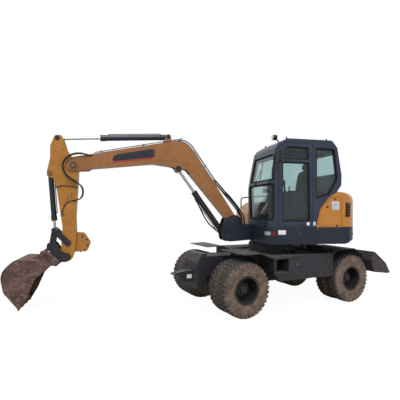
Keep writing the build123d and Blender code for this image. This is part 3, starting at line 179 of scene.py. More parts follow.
def noise(tree: Tree, place: Any, scale: float, detail: float = 2.0, **more: float) -> Any:
    """Grey noise with a number of spots in a metre, finer ones in them, and more inputs by name."""
    inputs = {"Vector": place, "Scale": scale, "Detail": detail, **more}
    return add(tree, "ShaderNodeTexNoise", inputs).outputs["Fac"]


def seen(tree: Tree) -> Any:
    """One where the camera sees a thing, also through glass, and nought for the light on others."""
    path = add(tree, "ShaderNodeLightPath").outputs
    return calculate(tree, "MAXIMUM", path["Is Camera Ray"], path["Is Transmission Ray"])


def bump(tree: Tree, height: Any, distance: float, strength: float) -> Any:
    """The surface's normal, bent by a height pattern that is a distance in metres deep."""
    inputs = {"Height": height, "Distance": distance, "Strength": strength}
    return add(tree, "ShaderNodeBump", inputs).outputs["Normal"]


# Finishes


@dataclass(frozen=True)
class Finish:
    """A material with one Principled shader, whose inputs each kind of finish works out."""

    name: str

    def material(self) -> bpy.types.Material:
        """Build the finish, or hand back the one that is there."""
        made = bpy.data.materials.get(self.name)
        if made:
            return made
        made = bpy.data.materials.new(self.name)
        made.use_nodes = True
        tree = made.node_tree
        tree.nodes.clear()
        place = add(tree, "ShaderNodeTexCoord").outputs["Object"]
        shader = add(tree, "ShaderNodeBsdfPrincipled", self.inputs(tree, place))
        add(tree, "ShaderNodeOutputMaterial", {"Surface": shader.outputs["BSDF"]})
        return made

    def inputs(self, tree: Tree, place: Any) -> dict[str, Any]:
        """The shader's inputs by name.

        Args:
            tree: The material's node tree.
            place: Object coordinates.
        """
        raise NotImplementedError


class Wear(NamedTuple):
    """Something that lies on a coating or wears it: its colour, its share and its size."""

    colour: str = ""
    share: float = 0.0
    size_mm: float = 0.0


@dataclass(frozen=True)
class Coating(Finish):
    """A hard surface: its colour with patches, and what weather and work leave on it."""

    colour: str
    patch: str
    roughness: float
    metallic: float = 0.0
    patch_mm: float = 320.0
    patch_share: float = 0.6
    dust: Wear = Wear()
    splash: Wear = Wear()
    worn: Wear = Wear()
    bump_mm: float = 0.15
    bump_size_mm: float = 9.0
    coat: float = 0.0

    def inputs(self, tree: Tree, place: Any) -> dict[str, Any]:
        """Colour from patches, dust, splashes and worn edges, and a fine grain on all of it."""
        colour = self._patches(tree, place)
        colour = self._dust(tree, place, colour)
        colour = self._splashes(tree, place, colour)
        colour = self._worn_edges(tree, place, colour)
        grain = noise(tree, place, 1000 / self.bump_size_mm, 3.0)
        rough = add(
            tree,
            "ShaderNodeMapRange",
            {
                "Value": grain,
                "From Min": 0.3,
                "From Max": 0.7,
                "To Min": max(0.03, self.roughness - 0.08),
                "To Max": min(1.0, self.roughness + 0.1),
            },
        )
        return {
            "Base Color": colour,
            "Roughness": rough.outputs["Result"],
            "Metallic": self.metallic,
            "Coat Weight": self.coat,
            "Coat Roughness": 0.18,
            "Normal": bump(tree, grain, self.bump_mm * MM, 0.8),
        }

    def _patches(self, tree: Tree, place: Any) -> Any:
        """Large soft patches of the second colour."""
        spots = noise(tree, place, 1000 / self.patch_mm, 4.0)
        share = spread(tree, spots, 0.38, 0.66, self.patch_share)
        return blend_colour(tree, share, linear(self.colour), linear(self.patch))

    def _dust(self, tree: Tree, place: Any, colour: Any) -> Any:
        """Dust over a colour, on what looks up."""
        if not self.dust.share:
            return colour
        normal = add(tree, "ShaderNodeNewGeometry").outputs["Normal"]
        upward = add(tree, "ShaderNodeSeparateXYZ", {0: normal}).outputs["Z"]
        facing = spread(tree, upward, 0.1, 0.9, 1.0)
        spots = spread(tree, noise(tree, place, 14.0, 6.0), 0.3, 0.6, self.dust.share)
        share = calculate(tree, "MULTIPLY", facing, spots, clamp=True)
        return blend_colour(tree, share, colour, linear(self.dust.colour))

    def _splashes(self, tree: Tree, place: Any, colour: Any) -> Any:
        """Dried mud over a colour, in ragged spots."""
        if not self.splash.share:
            return colour
        spots = noise(tree, place, 1000 / self.splash.size_mm, 8.0, Roughness=0.62)
        share = spread(tree, spots, 0.5, 0.62, self.splash.share)
        return blend_colour(tree, share, colour, linear(self.splash.colour))

    def _worn_edges(self, tree: Tree, place: Any, colour: Any) -> Any:
        """Bare or scuffed edges over a colour, where the surface differs from a rounded one."""
        if not self.worn.share:
            return colour
        radius = {"Radius": self.worn.size_mm * MM}
        rounded_off = add(tree, "ShaderNodeBevel", radius, samples=4).outputs["Normal"]
        plain = add(tree, "ShaderNodeNewGeometry").outputs["Normal"]
        both = {0: rounded_off, 1: plain}
        same = add(tree, "ShaderNodeVectorMath", both, operation="DOT_PRODUCT").outputs["Value"]
        edge = spread(tree, same, 0.985, 0.86, 1.0)
        spots = spread(tree, noise(tree, place, 22.0, 5.0), 0.36, 0.58, self.worn.share)
        share = calculate(tree, "MULTIPLY", edge, spots, clamp=True)
        return blend_colour(tree, share, colour, linear(self.worn.colour))


@dataclass(frozen=True)
class Pane(Finish):
    """Tempered glass with a green tint through its thickness."""

    tint: str
    roughness: float = 0.02

    def inputs(self, tree: Tree, place: Any) -> dict[str, Any]:
        """Clear glass with a thin film of dirt."""
        dirt = spread(tree, noise(tree, place, 3.0, 5.0), 0.4, 0.75, 0.12)
        return {
            "Base Color": blend_colour(tree, dirt, linear(self.tint), linear("b9c2bd")),
            "Roughness": calculate(tree, "ADD", dirt, self.roughness),
            "IOR": 1.45,
            "Transmission Weight": 1.0,
        }


@dataclass(frozen=True)
class MuddyTyre(Finish):
    """Vulcanised rubber, dark where the blocks scrub clean, under dried mud on the walls."""

    rubber: str
    mud: str
    dark_mud: str

    def inputs(self, tree: Tree, place: Any) -> dict[str, Any]:
        """Mud in two colours, taken off where the mesh's scrub attribute is high."""
        scrub = add(tree, "ShaderNodeAttribute", attribute_name="scrub").outputs["Fac"]
        broad = noise(tree, place, 9.0, 6.0)
        fine = noise(tree, place, 60.0, 8.0)
        darker = spread(tree, broad, 0.38, 0.62, 1.0)
        mud = blend_colour(tree, darker, linear(self.mud), linear(self.dark_mud))
        share = spread(tree, calculate(tree, "SUBTRACT", fine, scrub), -0.52, 0.26, 0.95)
        return {
            "Base Color": blend_colour(tree, share, linear(self.rubber), mud),
            "Roughness": spread(tree, fine, 0.2, 0.8, 0.96),
            "Normal": bump(tree, fine, 0.0016, 0.9),
        }


@dataclass(frozen=True)
class Weave(Finish):
    """Woven polyester seat cloth, with yarns drawn as coarse as a render can show."""

    yarn: str
    gap: str
    pitch_mm: float = 5.0

    def inputs(self, tree: Tree, place: Any) -> dict[str, Any]:
        """Two crossed sets of yarns."""
        both = {"Vector": place, "Scale": 1000 / self.pitch_mm / 6.3}
        warp, weft = (add(tree, "ShaderNodeTexWave", both, bands_direction=way) for way in "XZ")
        net = calculate(tree, "MULTIPLY", warp.outputs["Fac"], weft.outputs["Fac"], clamp=True)
        return {
            "Base Color": blend_colour(tree, net, linear(self.gap), linear(self.yarn)),
            "Roughness": 0.92,
            "Sheen Weight": 0.3,
            "Normal": bump(tree, net, 0.0006, 0.6),
        }


class Look(Enum):
    """Every finish of the machine."""

    # Sprayed two-pack enamel over plate: satin, a little faded, with dust on the upper faces.
    BOOM_ENAMEL = Coating(
        "boom_enamel", "9f6936", "88572f", 0.4, dust=Wear("a08c72", 0.3),
        splash=Wear("7a5030", 0.3, 90), worn=Wear("57402c", 0.6, 7), coat=0.15,
    )
    # The arm has the same paint, newer and more golden.
    ARM_ENAMEL = Coating(
        "arm_enamel", "b67822", "a2681f", 0.38, dust=Wear("a08c60", 0.25),
        splash=Wear("7d5424", 0.3, 80), worn=Wear("5e4526", 0.6, 6), coat=0.2,
    )
    # The same enamel on the pressed covers, kept cleaner and glossier than the boom.
    COVER_ENAMEL = Coating(
        "cover_enamel", "c48030", "b8752a", 0.32, dust=Wear("c79f66", 0.28),
        worn=Wear("8f6230", 0.3, 4), coat=0.3,
    )
    # Blue-grey powder coat of the cab: even, low gloss, a trace of dust.
    CAB_COAT = Coating(
        "cab_powder_coat", "232f43", "2b3a4f", 0.32, dust=Wear("66798e", 0.15),
        worn=Wear("4c5664", 0.5, 4), coat=0.2,
    )
    # Dark blue enamel of the deck skirts and the counterweight.
    DECK_ENAMEL = Coating(
        "deck_enamel", "151d2e", "1c2638", 0.42, dust=Wear("5c6270", 0.35),
        splash=Wear("2f2c30", 0.25, 45), worn=Wear("555861", 0.5, 4),
    )
    # Chassis black: brushed-on bitumen-like paint, dusty, scuffed to grey at its edges.
    CHASSIS_PAINT = Coating(
        "chassis_paint", "232229", "302d35", 0.55, dust=Wear("7d7c81", 0.7),
        splash=Wear("443c40", 0.4, 70), worn=Wear("77736f", 0.75, 7), bump_mm=0.4,
    )
    # Blade and guards: the same paint, muddier.
    BLADE_PAINT = Coating(
        "blade_paint", "33303a", "453d40", 0.62, dust=Wear("6c5f54", 0.6),
        splash=Wear("5b4a40", 0.6, 80), worn=Wear("8a8582", 0.8, 9), bump_mm=0.5,
    )
    # Rims: dark paint deep in shadow, with mud thrown into them.
    RIM_PAINT = Coating(
        "rim_paint", "191b21", "23232a", 0.5, dust=Wear("4c443e", 0.3),
        splash=Wear("4a3a30", 0.45, 50), worn=Wear("4d4440", 0.6, 5), bump_mm=0.5,
    )
    # Hard chrome on the rods: bright, ground smooth, a thin oily haze.
    CHROME = Coating(
        "hard_chrome", "d4d6d8", "b9bcc0", 0.12, metallic=1.0, patch_share=0.5, bump_mm=0.02,
        bump_size_mm=30,
    )
    # Cylinder barrels, painted gloss black.
    BARREL_BLACK = Coating(
        "barrel_enamel", "141619", "1e1f23", 0.36, dust=Wear("56524e", 0.25),
        worn=Wear("434447", 0.5, 4), coat=0.2,
    )
    # The arm cylinder's barrel is a dark navy.
    BARREL_NAVY = Coating(
        "navy_barrel_enamel", "17202f", "202a3a", 0.35, dust=Wear("5c5e62", 0.2),
        worn=Wear("464e5c", 0.5, 4), coat=0.2,
    )
    # Coupler and links: black paint worn to dark steel and dusted with clay.
    LINK_PAINT = Coating(
        "coupler_paint", "19191d", "242224", 0.5, dust=Wear("5e544b", 0.35),
        splash=Wear("43382f", 0.35, 50), worn=Wear("6c6864", 0.8, 6), bump_mm=0.4,
    )
    # Bucket: abrasion plate, rusty, caked with red-brown clay.
    BUCKET_STEEL = Coating(
        "rusty_clay_on_plate", "6a4a45", "463534", 0.85, patch_mm=150, patch_share=1.0,
        dust=Wear("8a6e62", 0.6), splash=Wear("7d6a60", 0.75, 70), worn=Wear("a39389", 0.8, 9),
        bump_mm=3.0, bump_size_mm=24,
    )
    # Teeth and cutting edges: forged steel polished by the ground.
    TOOTH_STEEL = Coating(
        "scoured_steel", "7d7470", "5f5350", 0.5, metallic=0.7, splash=Wear("6c4a3f", 0.5, 30),
        bump_mm=0.6,
    )
    # Grey paint on handrails and pipes.
    GREY_PAINT = Coating(
        "grey_rail_paint", "7c8085", "6c7075", 0.4, dust=Wear("9b958c", 0.4),
        worn=Wear("a9aaab", 0.4, 3),
    )
    # Zinc-plated bolts and pin ends.
    ZINC = Coating("zinc_plate", "8b8a86", "6f6c68", 0.4, metallic=0.9, patch_mm=40, bump_mm=0.05)
    # Oxide-black bolts on dark parts.
    BLACK_BOLT = Coating("oxide_black_steel", "2d2d30", "3b3a3b", 0.5, metallic=0.4, patch_mm=40)
    # Hose cover: black nitrile rubber with a cloth wrap's faint grain.
    HOSE_RUBBER = Coating(
        "hose_rubber", "17181a", "232323", 0.6, dust=Wear("5c564e", 0.5), bump_mm=0.3,
        bump_size_mm=4,
    )
    # The arm's own hoses, dried mud on worn rubber.
    HOSE_MUDDY = Coating(
        "muddy_hose", "3b3732", "4d463d", 0.65, dust=Wear("8d8271", 0.6), bump_mm=0.3,
        bump_size_mm=4,
    )
    # Window seals: soft EPDM, matt black.
    SEAL_RUBBER = Coating("seal_rubber", "121316", "1b1c1f", 0.7, bump_mm=0.1, bump_size_mm=4)
    # Cab plastics: injection-moulded, fine leather grain.
    CAB_PLASTIC = Coating("grained_plastic", "26282c", "303236", 0.6, bump_mm=0.3, bump_size_mm=3)
    # Mouldings behind lamps, vents and mirrors.
    BLACK_PLASTIC = Coating("black_plastic", "15161a", "202126", 0.5, bump_mm=0.2, bump_size_mm=3)
    # Acrylic lamp lenses and the reflecting foil beside them.
    CLEAR_LENS = Coating(
        "clear_lens", "e6e8ea", "d5d8dc", 0.12, patch_mm=20, coat=0.8, bump_mm=0.5, bump_size_mm=6,
    )
    RED_LENS = Coating(
        "red_lens", "a51d26", "7d141c", 0.15, patch_mm=20, coat=0.8, bump_mm=0.5, bump_size_mm=6,
    )
    # Blank vinyl plates: white and pale grey foil with a soft gloss.
    WHITE_FOIL = Coating("white_foil", "e9e9e6", "dcdcda", 0.35, patch_mm=60, bump_mm=0.02)
    PALE_FOIL = Coating("pale_foil", "c9d2d8", "aebac2", 0.3, patch_mm=60, bump_mm=0.02)
    # The blank panel on the boom: dark foil with a red and a magenta edge.
    DARK_FOIL = Coating("dark_foil", "23242b", "2e2b33", 0.35, patch_mm=120, bump_mm=0.02)
    RED_FOIL = Coating("red_foil", "b0273a", "98203a", 0.35, patch_mm=60, bump_mm=0.02)
    MAGENTA_FOIL = Coating("magenta_foil", "9c2a6a", "7f2660", 0.35, patch_mm=60, bump_mm=0.02)
    # Silvered mirror glass.
    MIRROR = Coating("silvered_glass", "dfe3e6", "d0d5d9", 0.03, metallic=1.0, bump_mm=0.0)
    GLASS = Pane("green_tempered_glass", "c3d8d8")
    TYRE = MuddyTyre("muddy_rubber", "3d3b3a", "7d6a5c", "5a4a42")
    SEAT_CLOTH = Weave("seat_cloth", "3a3c42", "1c1d20")

    def material(self) -> bpy.types.Material:
        """The finish as a material."""
        return self.value.material()


NODE_LOOKS: dict[Look, tuple[str, ...]] = {
    Look.CHASSIS_PAINT: (
        "chassis_frame", "side_box_left", "side_box_right", "locker_door_left", "locker_door_right",
        "front_axle", "rear_axle", "drive_shaft", "knuckle_left", "knuckle_right",
    ),
    Look.BLADE_PAINT: ("blade",),
    Look.CHROME: ("tie_rod", "blade_rod", "boom_rod", "arm_rod", "bucket_rod"),
    Look.BARREL_BLACK: ("blade_barrel", "boom_barrel", "bucket_barrel"),
    Look.BARREL_NAVY: ("arm_barrel",),
    Look.DECK_ENAMEL: ("deck_frame", "counterweight"),
    Look.COVER_ENAMEL: ("engine_cover", "engine_hood", "side_cover", "tank_cover"),
    Look.CAB_COAT: ("cab_shell", "cab_door"),
    Look.GLASS: ("cab_glass", "door_glass"),
    Look.BLACK_BOLT: ("engine_block",),
    Look.CAB_PLASTIC: ("seat", "controls"),
    Look.BLACK_PLASTIC: ("lamps",),
    Look.GREY_PAINT: ("rails_and_mirrors", "boom_pipes"),
    Look.BOOM_ENAMEL: ("boom",),
    Look.ARM_ENAMEL: ("arm",),
    Look.LINK_PAINT: ("rocker", "link", "coupler"),
    Look.BUCKET_STEEL: ("bucket",),
    Look.HOSE_RUBBER: ("hoses_house_boom", "hoses_boom_arm"),
    Look.RIM_PAINT: ("rims_front_left", "rims_front_right", "rims_rear_left", "rims_rear_right"),
    Look.TYRE: ("tyres_front_left", "tyres_front_right", "tyres_rear_left", "tyres_rear_right"),
}

# The material slot of each finish
SLOTS: dict[str, tuple[Look, ...]] = {
    "black_steel": (
        Look.BLACK_BOLT, Look.CHASSIS_PAINT, Look.DARK_FOIL, Look.RED_FOIL, Look.MAGENTA_FOIL,
        Look.LINK_PAINT, Look.BARREL_BLACK,
    ),
    "grey_steel": (Look.WHITE_FOIL, Look.PALE_FOIL, Look.ZINC, Look.GREY_PAINT),
    "worn_steel": (Look.TOOTH_STEEL,),
    "navy": (Look.BARREL_NAVY,),
    "orange": (Look.COVER_ENAMEL, Look.ARM_ENAMEL, Look.BOOM_ENAMEL),
    "cab_paint": (Look.CAB_COAT,),
    "rim": (Look.RIM_PAINT,),
    "tyre": (Look.TYRE,),
    "hose": (Look.HOSE_RUBBER, Look.HOSE_MUDDY),
    "plastic": (Look.RED_LENS, Look.BLACK_PLASTIC, Look.SEAL_RUBBER, Look.CAB_PLASTIC),
    "glass": (Look.CLEAR_LENS, Look.MIRROR),
    "seat": (Look.SEAT_CLOTH,),
}
SLOT_OF = {look: slot for slot, looks in SLOTS.items() for look in looks}


# Geometry Nodes recipes


class Recipe:
    """A Geometry Nodes tree with named inputs, and how it is run on an object."""

    def __init__(self, name: str, inputs: dict[str, str], build: Callable[..., Any]) -> None:
        """Build the tree.

        Args:
            name: The tree's name.
            inputs: Each input's socket type by its name.
            build: One of the functions below, which take the tree and its input node and return
                the last geometry socket.
        """
        self.tree = bpy.data.node_groups.new(name, "GeometryNodeTree")
        new = self.tree.interface.new_socket
        new("Geometry", in_out="INPUT", socket_type="NodeSocketGeometry")
        new("Geometry", in_out="OUTPUT", socket_type="NodeSocketGeometry")
        self.sockets = {}
        for label, kind in {**inputs, "Material": "Material"}.items():
            item = new(label, in_out="INPUT", socket_type=f"NodeSocket{kind}")
            self.sockets[label] = item.identifier
        start = add(self.tree, "NodeGroupInput")
        last = build(self.tree, start)
        solid = add(self.tree, "GeometryNodeRealizeInstances", {"Geometry": last}).outputs
        coat = {"Geometry": solid["Geometry"], "Material": start.outputs["Material"]}
        dressed = add(self.tree, "GeometryNodeSetMaterial", coat).outputs["Geometry"]
        add(self.tree, "NodeGroupOutput", {"Geometry": dressed})

    def run(self, source: Object, **values: Any) -> Mesh:
        """Run the tree on an object, take the mesh and remove the object.

        Args:
            source: A mesh or curve object that the tree starts from.
            values: The inputs by name.
        """
        modifier = source.modifiers.new(self.tree.name, "NODES")
        modifier.node_group = self.tree
        for label, value in values.items():
            modifier[self.sockets[label]] = value
        graph = bpy.context.evaluated_depsgraph_get()
        mesh = bpy.data.meshes.new_from_object(source.evaluated_get(graph))
        bpy.data.objects.remove(source)
        return mesh


def copies_on(tree: Tree, points: Any, copied: Any, **more: Any) -> Any:
    """A geometry copied to each point, as a socket."""
    inputs = {"Points": points, "Instance": copied, **more}
    return add(tree, "GeometryNodeInstanceOnPoints", inputs).outputs["Instances"]


def line_of(tree: Tree, count: Any, step: Any) -> Any:
    """Points in a straight line, as a socket."""
    return add(tree, "GeometryNodeMeshLine", {"Count": count, "Offset": step}).outputs["Mesh"]


def build_studs(tree: Tree, start: Any) -> Any:
    """Bolt heads, one standing along Z on each input point."""
    sizes = start.outputs
    cylinder = {"Vertices": sizes["Sides"], "Radius": sizes["Radius"], "Depth": sizes["Height"]}
    head = add(tree, "GeometryNodeMeshCylinder", cylinder)
    return copies_on(tree, sizes["Geometry"], head.outputs["Mesh"])


def build_sweep(tree: Tree, start: Any) -> Any:
    """A round profile along the input curve."""
    circle_of = {"Resolution": start.outputs["Sides"], "Radius": start.outputs["Radius"]}
    ring = add(tree, "GeometryNodeCurvePrimitiveCircle", circle_of).outputs["Curve"]
    along = {"Curve": start.outputs["Geometry"], "Profile Curve": ring, "Fill Caps": True}
    return add(tree, "GeometryNodeCurveToMesh", along).outputs["Mesh"]


def build_around(tree: Tree, start: Any) -> Any:
    """The input geometry and copies of one object turned about the Y axis."""
    points = line_of(tree, start.outputs["Count"], (0.0, 0.0, 0.0))
    index = add(tree, "GeometryNodeInputIndex").outputs["Index"]
    step = calculate(tree, "DIVIDE", 2 * math.pi, start.outputs["Count"])
    turn = calculate(tree, "MULTIPLY", index, step)
    phased = calculate(tree, "ADD", turn, start.outputs["Phase"])
    rotation = add(tree, "ShaderNodeCombineXYZ", {"Y": phased}).outputs["Vector"]
    copied = add(tree, "GeometryNodeObjectInfo", {"Object": start.outputs["Block"]})
    copies = copies_on(tree, points, copied.outputs["Geometry"], Rotation=rotation)
    both = add(tree, "GeometryNodeJoinGeometry")
    tree.links.new(start.outputs["Geometry"], both.inputs[0])
    tree.links.new(copies, both.inputs[0])
    return both.outputs["Geometry"]


def build_row(tree: Tree, start: Any) -> Any:
    """Copies of the input geometry in a straight row."""
    points = line_of(tree, start.outputs["Count"], start.outputs["Step"])
    return copies_on(tree, points, start.outputs["Geometry"])


class Recipes:
    """The machine's four Geometry Nodes trees."""

    def __init__(self) -> None:
        """Build the trees."""
        sizes = {"Sides": "Int", "Radius": "Float", "Height": "Float"}
        self.studs = Recipe("bolt_heads", sizes, build_studs)
        self.sweep = Recipe("tube_along_curve", {"Sides": "Int", "Radius": "Float"}, build_sweep)
        self.around = Recipe(
            "copies_about_axle", {"Block": "Object", "Count": "Int", "Phase": "Float"}, build_around
        )
        self.row = Recipe("copies_in_a_row", {"Count": "Int", "Step": "Vector"}, build_row)


# Mesh building


class Form:
    """A mesh under construction, in one site's millimetres."""

    def __init__(self, site: Site) -> None:
        """Start empty.

        Args:
            site: The layout that its sizes are in.
        """
        self.site = site
        self.bm = bmesh.new()

    def walls(self, first: Sequence[Any], second: Sequence[Any]) -> list[bmesh.types.BMFace]:
        """Add the faces between two closed rings with equally many corners."""
        ends = zip(first, [*first[1:], first[0]], [*second[1:], second[0]], second)
        return [self.bm.faces.new(quad) for quad in ends]

    def prism(
        self, outline: Sequence[Flat], low: float, high: float, axis: str = "y", bevel: float = 0.0
    ) -> Form:
        """Add an outline made solid along an axis.

        Args:
            outline: Corners, as x and z along y, x and y along z, or y and z along x.
            low: Start along the axis.
            high: End along the axis.
            axis: Letter of the axis.
            bevel: Width of the rounding on all edges.
        """
        order = {
            "x": lambda a, b, t: (t, a, b),
            "y": lambda a, b, t: (a, t, b),
            "z": lambda a, b, t: (a, b, t),
        }[axis]
        near = [self.bm.verts.new(order(a, b, low)) for a, b in outline]
        far = [self.bm.verts.new(order(a, b, high)) for a, b in outline]
        faces = [self.bm.faces.new(near), self.bm.faces.new(far), *self.walls(near, far)]
        bmesh.ops.recalc_face_normals(self.bm, faces=faces)
        if bevel:
            edges = list({edge for face in faces for edge in face.edges})
            bmesh.ops.bevel(
                self.bm, geom=edges, offset=bevel, segments=2, profile=0.6, affect="EDGES"
            )
        return self

    def box(self, low: Point, high: Point, bevel: float = 0.0) -> Form:
        """Add a box between two opposite corners, with rounded edges."""
        outline = [(low[0], low[1]), (high[0], low[1]), (high[0], high[1]), (low[0], high[1])]
        return self.prism(outline, low[2], high[2], "z", bevel)

    def lathe(
        self, profile: Sequence[Flat], at: Point, axis: Point, sides: int = 32, closed: bool = False
    ) -> Form:
        """Add a turned shape.

        Args:
            profile: Places along the axis, each with its radius.
            at: Where the axis starts.
            axis: The axis direction.
            sides: Faces around.
            closed: Whether the last ring joins the first, as on a tyre.
        """
        turn = Vector((0, 0, 1)).rotation_difference(Vector(axis).normalized()).to_matrix()
        rings: list[list[bmesh.types.BMVert]] = []
        for along, radius in profile:
            ring = []
            for i in range(sides if radius > 0 else 1):
                angle = 2 * math.pi * i / sides
                local = Vector((radius * math.cos(angle), radius * math.sin(angle), along))
                ring.append(self.bm.verts.new(Vector(at) + turn @ local))
            rings.append(ring)
        pairs = list(zip(rings, rings[1:]))
        if closed:
            pairs.append((rings[-1], rings[0]))
        faces = []
        for first, second in pairs:
            for i in range(sides):
                j = (i + 1) % sides
                near, far = len(first), len(second)
                around = (first[i % near], first[j % near], second[j % far], second[i % far])
                unique = list(dict.fromkeys(around))
                if len(unique) > 2:
                    faces.append(self.bm.faces.new(unique))
        if not closed:
            for ring in (rings[0], rings[-1]):
                if len(ring) > 1:
                    faces.append(self.bm.faces.new(ring))
        bmesh.ops.recalc_face_normals(self.bm, faces=faces)
        return self

    def rod(self, start: Point, end: Point, radius: float, sides: int = 20) -> Form:
        """Add a round bar between two points."""
        way = Vector(end) - Vector(start)
        return self.lathe([(0, radius), (way.length, radius)], start, tuple(way), sides)

    def grid(self, rows: Sequence[Sequence[Point]], thickness: float) -> Form:
        """Add a curved plate through rows of points.

        Args:
            rows: Rows of points with equal lengths.
            thickness: Wall thickness.
        """
        verts = [[self.bm.verts.new(p) for p in row] for row in rows]
        faces = []
        for i in range(len(rows) - 1):
            for j in range(len(rows[0]) - 1):
                quad = [verts[i][j], verts[i][j + 1], verts[i + 1][j + 1], verts[i + 1][j]]
                faces.append(self.bm.faces.new(quad))
        bmesh.ops.solidify(self.bm, geom=faces, thickness=thickness)
        return self

    def band(
        self, outer: Sequence[Flat], inner: Sequence[Flat], place: Callable[..., Point], low: float,
        high: float,
    ) -> Form:
        """Add a frame between two outlines with equally many points.

        Args:
            outer: The outer outline.
            inner: The inner outline.
            place: Turns both coordinates and a depth to a point.
            low: Start of the depth.
            high: End of the depth.
        """
        loops = [
            [self.bm.verts.new(place(a, b, depth)) for a, b in outline]
            for outline, depth in ((outer, low), (outer, high), (inner, high), (inner, low))
        ]
        faces = []
        for first, second in zip(loops, loops[1:] + loops[:1]):
            faces.extend(self.walls(first, second))
        bmesh.ops.recalc_face_normals(self.bm, faces=faces)
        return self

    def mesh(self) -> Mesh:
        """End the construction and hand over the mesh, still in the site's millimetres."""
        mesh = bpy.data.meshes.new("form")
        self.bm.to_mesh(mesh)
        self.bm.free()
        return mesh


def join(meshes: Iterable[Mesh]) -> Mesh:
    """Put meshes together in one, and remove them."""
    joined = bmesh.new()
    for mesh in meshes:
        joined.from_mesh(mesh)
        bpy.data.meshes.remove(mesh)
    whole = bpy.data.meshes.new("joined")
    joined.to_mesh(whole)
    joined.free()
    return whole


def loose_object(mesh: Mesh) -> Object:
    """A passing object that a recipe starts from or copies."""
    source = bpy.data.objects.new("source", mesh)
    bpy.context.scene.collection.objects.link(source)
    return source


def smooth_curve(points: Sequence[Point]) -> Object:
    """A NURBS line with the points as its control points.

    Args:
        points: Control points.
    """
    curve = bpy.data.curves.new("line", "CURVE")
    curve.dimensions = "3D"
    spline = curve.splines.new("NURBS")
    spline.points.add(len(points) - 1)
    for point, place in zip(spline.points, points):
        point.co = (*place, 1.0)
    spline.order_u = 3
    spline.use_endpoint_u = True
    curve.resolution_u = 10
    line = bpy.data.objects.new("line", curve)
    bpy.context.scene.collection.objects.link(line)
    return line


def rounded(corners: Sequence[Corner]) -> list[Flat]:
    """An outline with round corners.

    Args:
        corners: Each corner's two coordinates and its radius.
    """
    out: list[Flat] = []
    count = len(corners)
    for i, (a, b, radius) in enumerate(corners):
        here = Vector((a, b))
        before = Vector(corners[i - 1][:2]) - here
        after = Vector(corners[(i + 1) % count][:2]) - here
        if radius <= 0:
            out.append((a, b))
            continue
        shorter = min(before.length, after.length)
        reach = min(radius / math.tan(before.angle(after) / 2), 0.49 * shorter)
        start = here + before.normalized() * reach
        end = here + after.normalized() * reach
        for k in range(CORNER_STEPS + 1):
            t = k / CORNER_STEPS
            point = (1 - t) ** 2 * start + 2 * t * (1 - t) * here + t**2 * end
            out.append((point.x, point.y))
    return out


def inset(corners: Sequence[Corner], width: float) -> list[Corner]:
    """Move every side of a convex outline inwards.

    Args:
        corners: Each corner's two coordinates and its radius.
        width: How far.
    """
    runs = list(zip(corners, [*corners[1:], corners[0]]))
    hand = 1 if sum(a[0] * b[1] - b[0] * a[1] for a, b in runs) > 0 else -1
    sides = []
    for a, b in runs:
        way = (Vector(b[:2]) - Vector(a[:2])).normalized()
        sides.append((Vector(a[:2]) + Vector((-way.y, way.x)) * hand * width, way))
    out = []
    for i, corner in enumerate(corners):
        (p, v), (q, w) = sides[i - 1], sides[i]
        cross = v.x * w.y - v.y * w.x
        t = ((q - p).x * w.y - (q - p).y * w.x) / cross
        point = p + v * t
        out.append((point.x, point.y, max(4.0, corner[2] - width * 0.6)))
    return out


def in_steps(outer: Sequence[Flat], inner: Sequence[Flat]) -> tuple[list[Flat], list[Flat]]:
    """Cut two outlines into short runs, with equally many points, for a band that bends.

    Args:
        outer: The outer outline.
        inner: The inner outline, with equally many points.
    """
    result: tuple[list[Flat], list[Flat]] = ([], [])
    for i in range(len(outer)):
        ends = outer[i], outer[(i + 1) % len(outer)]
        count = max(1, math.ceil(math.dist(*ends) / LONGEST_RUN))
        for outline, target in ((outer, result[0]), (inner, result[1])):
            a, b = outline[i], outline[(i + 1) % len(outline)]
            for k in range(count):
                target.append(tuple(a[n] + (b[n] - a[n]) * k / count for n in range(2)))
    return result


def circle(
    x: float, y: float, z: float, radius: float, count: int, start: float = 0.0
) -> list[Point]:
    """Points evenly round a line along Y, from a start angle."""
    angles = [start + 2 * math.pi * i / count for i in range(count)]
    return [(x + radius * math.cos(a), y, z + radius * math.sin(a)) for a in angles]


# Sub-assemblies


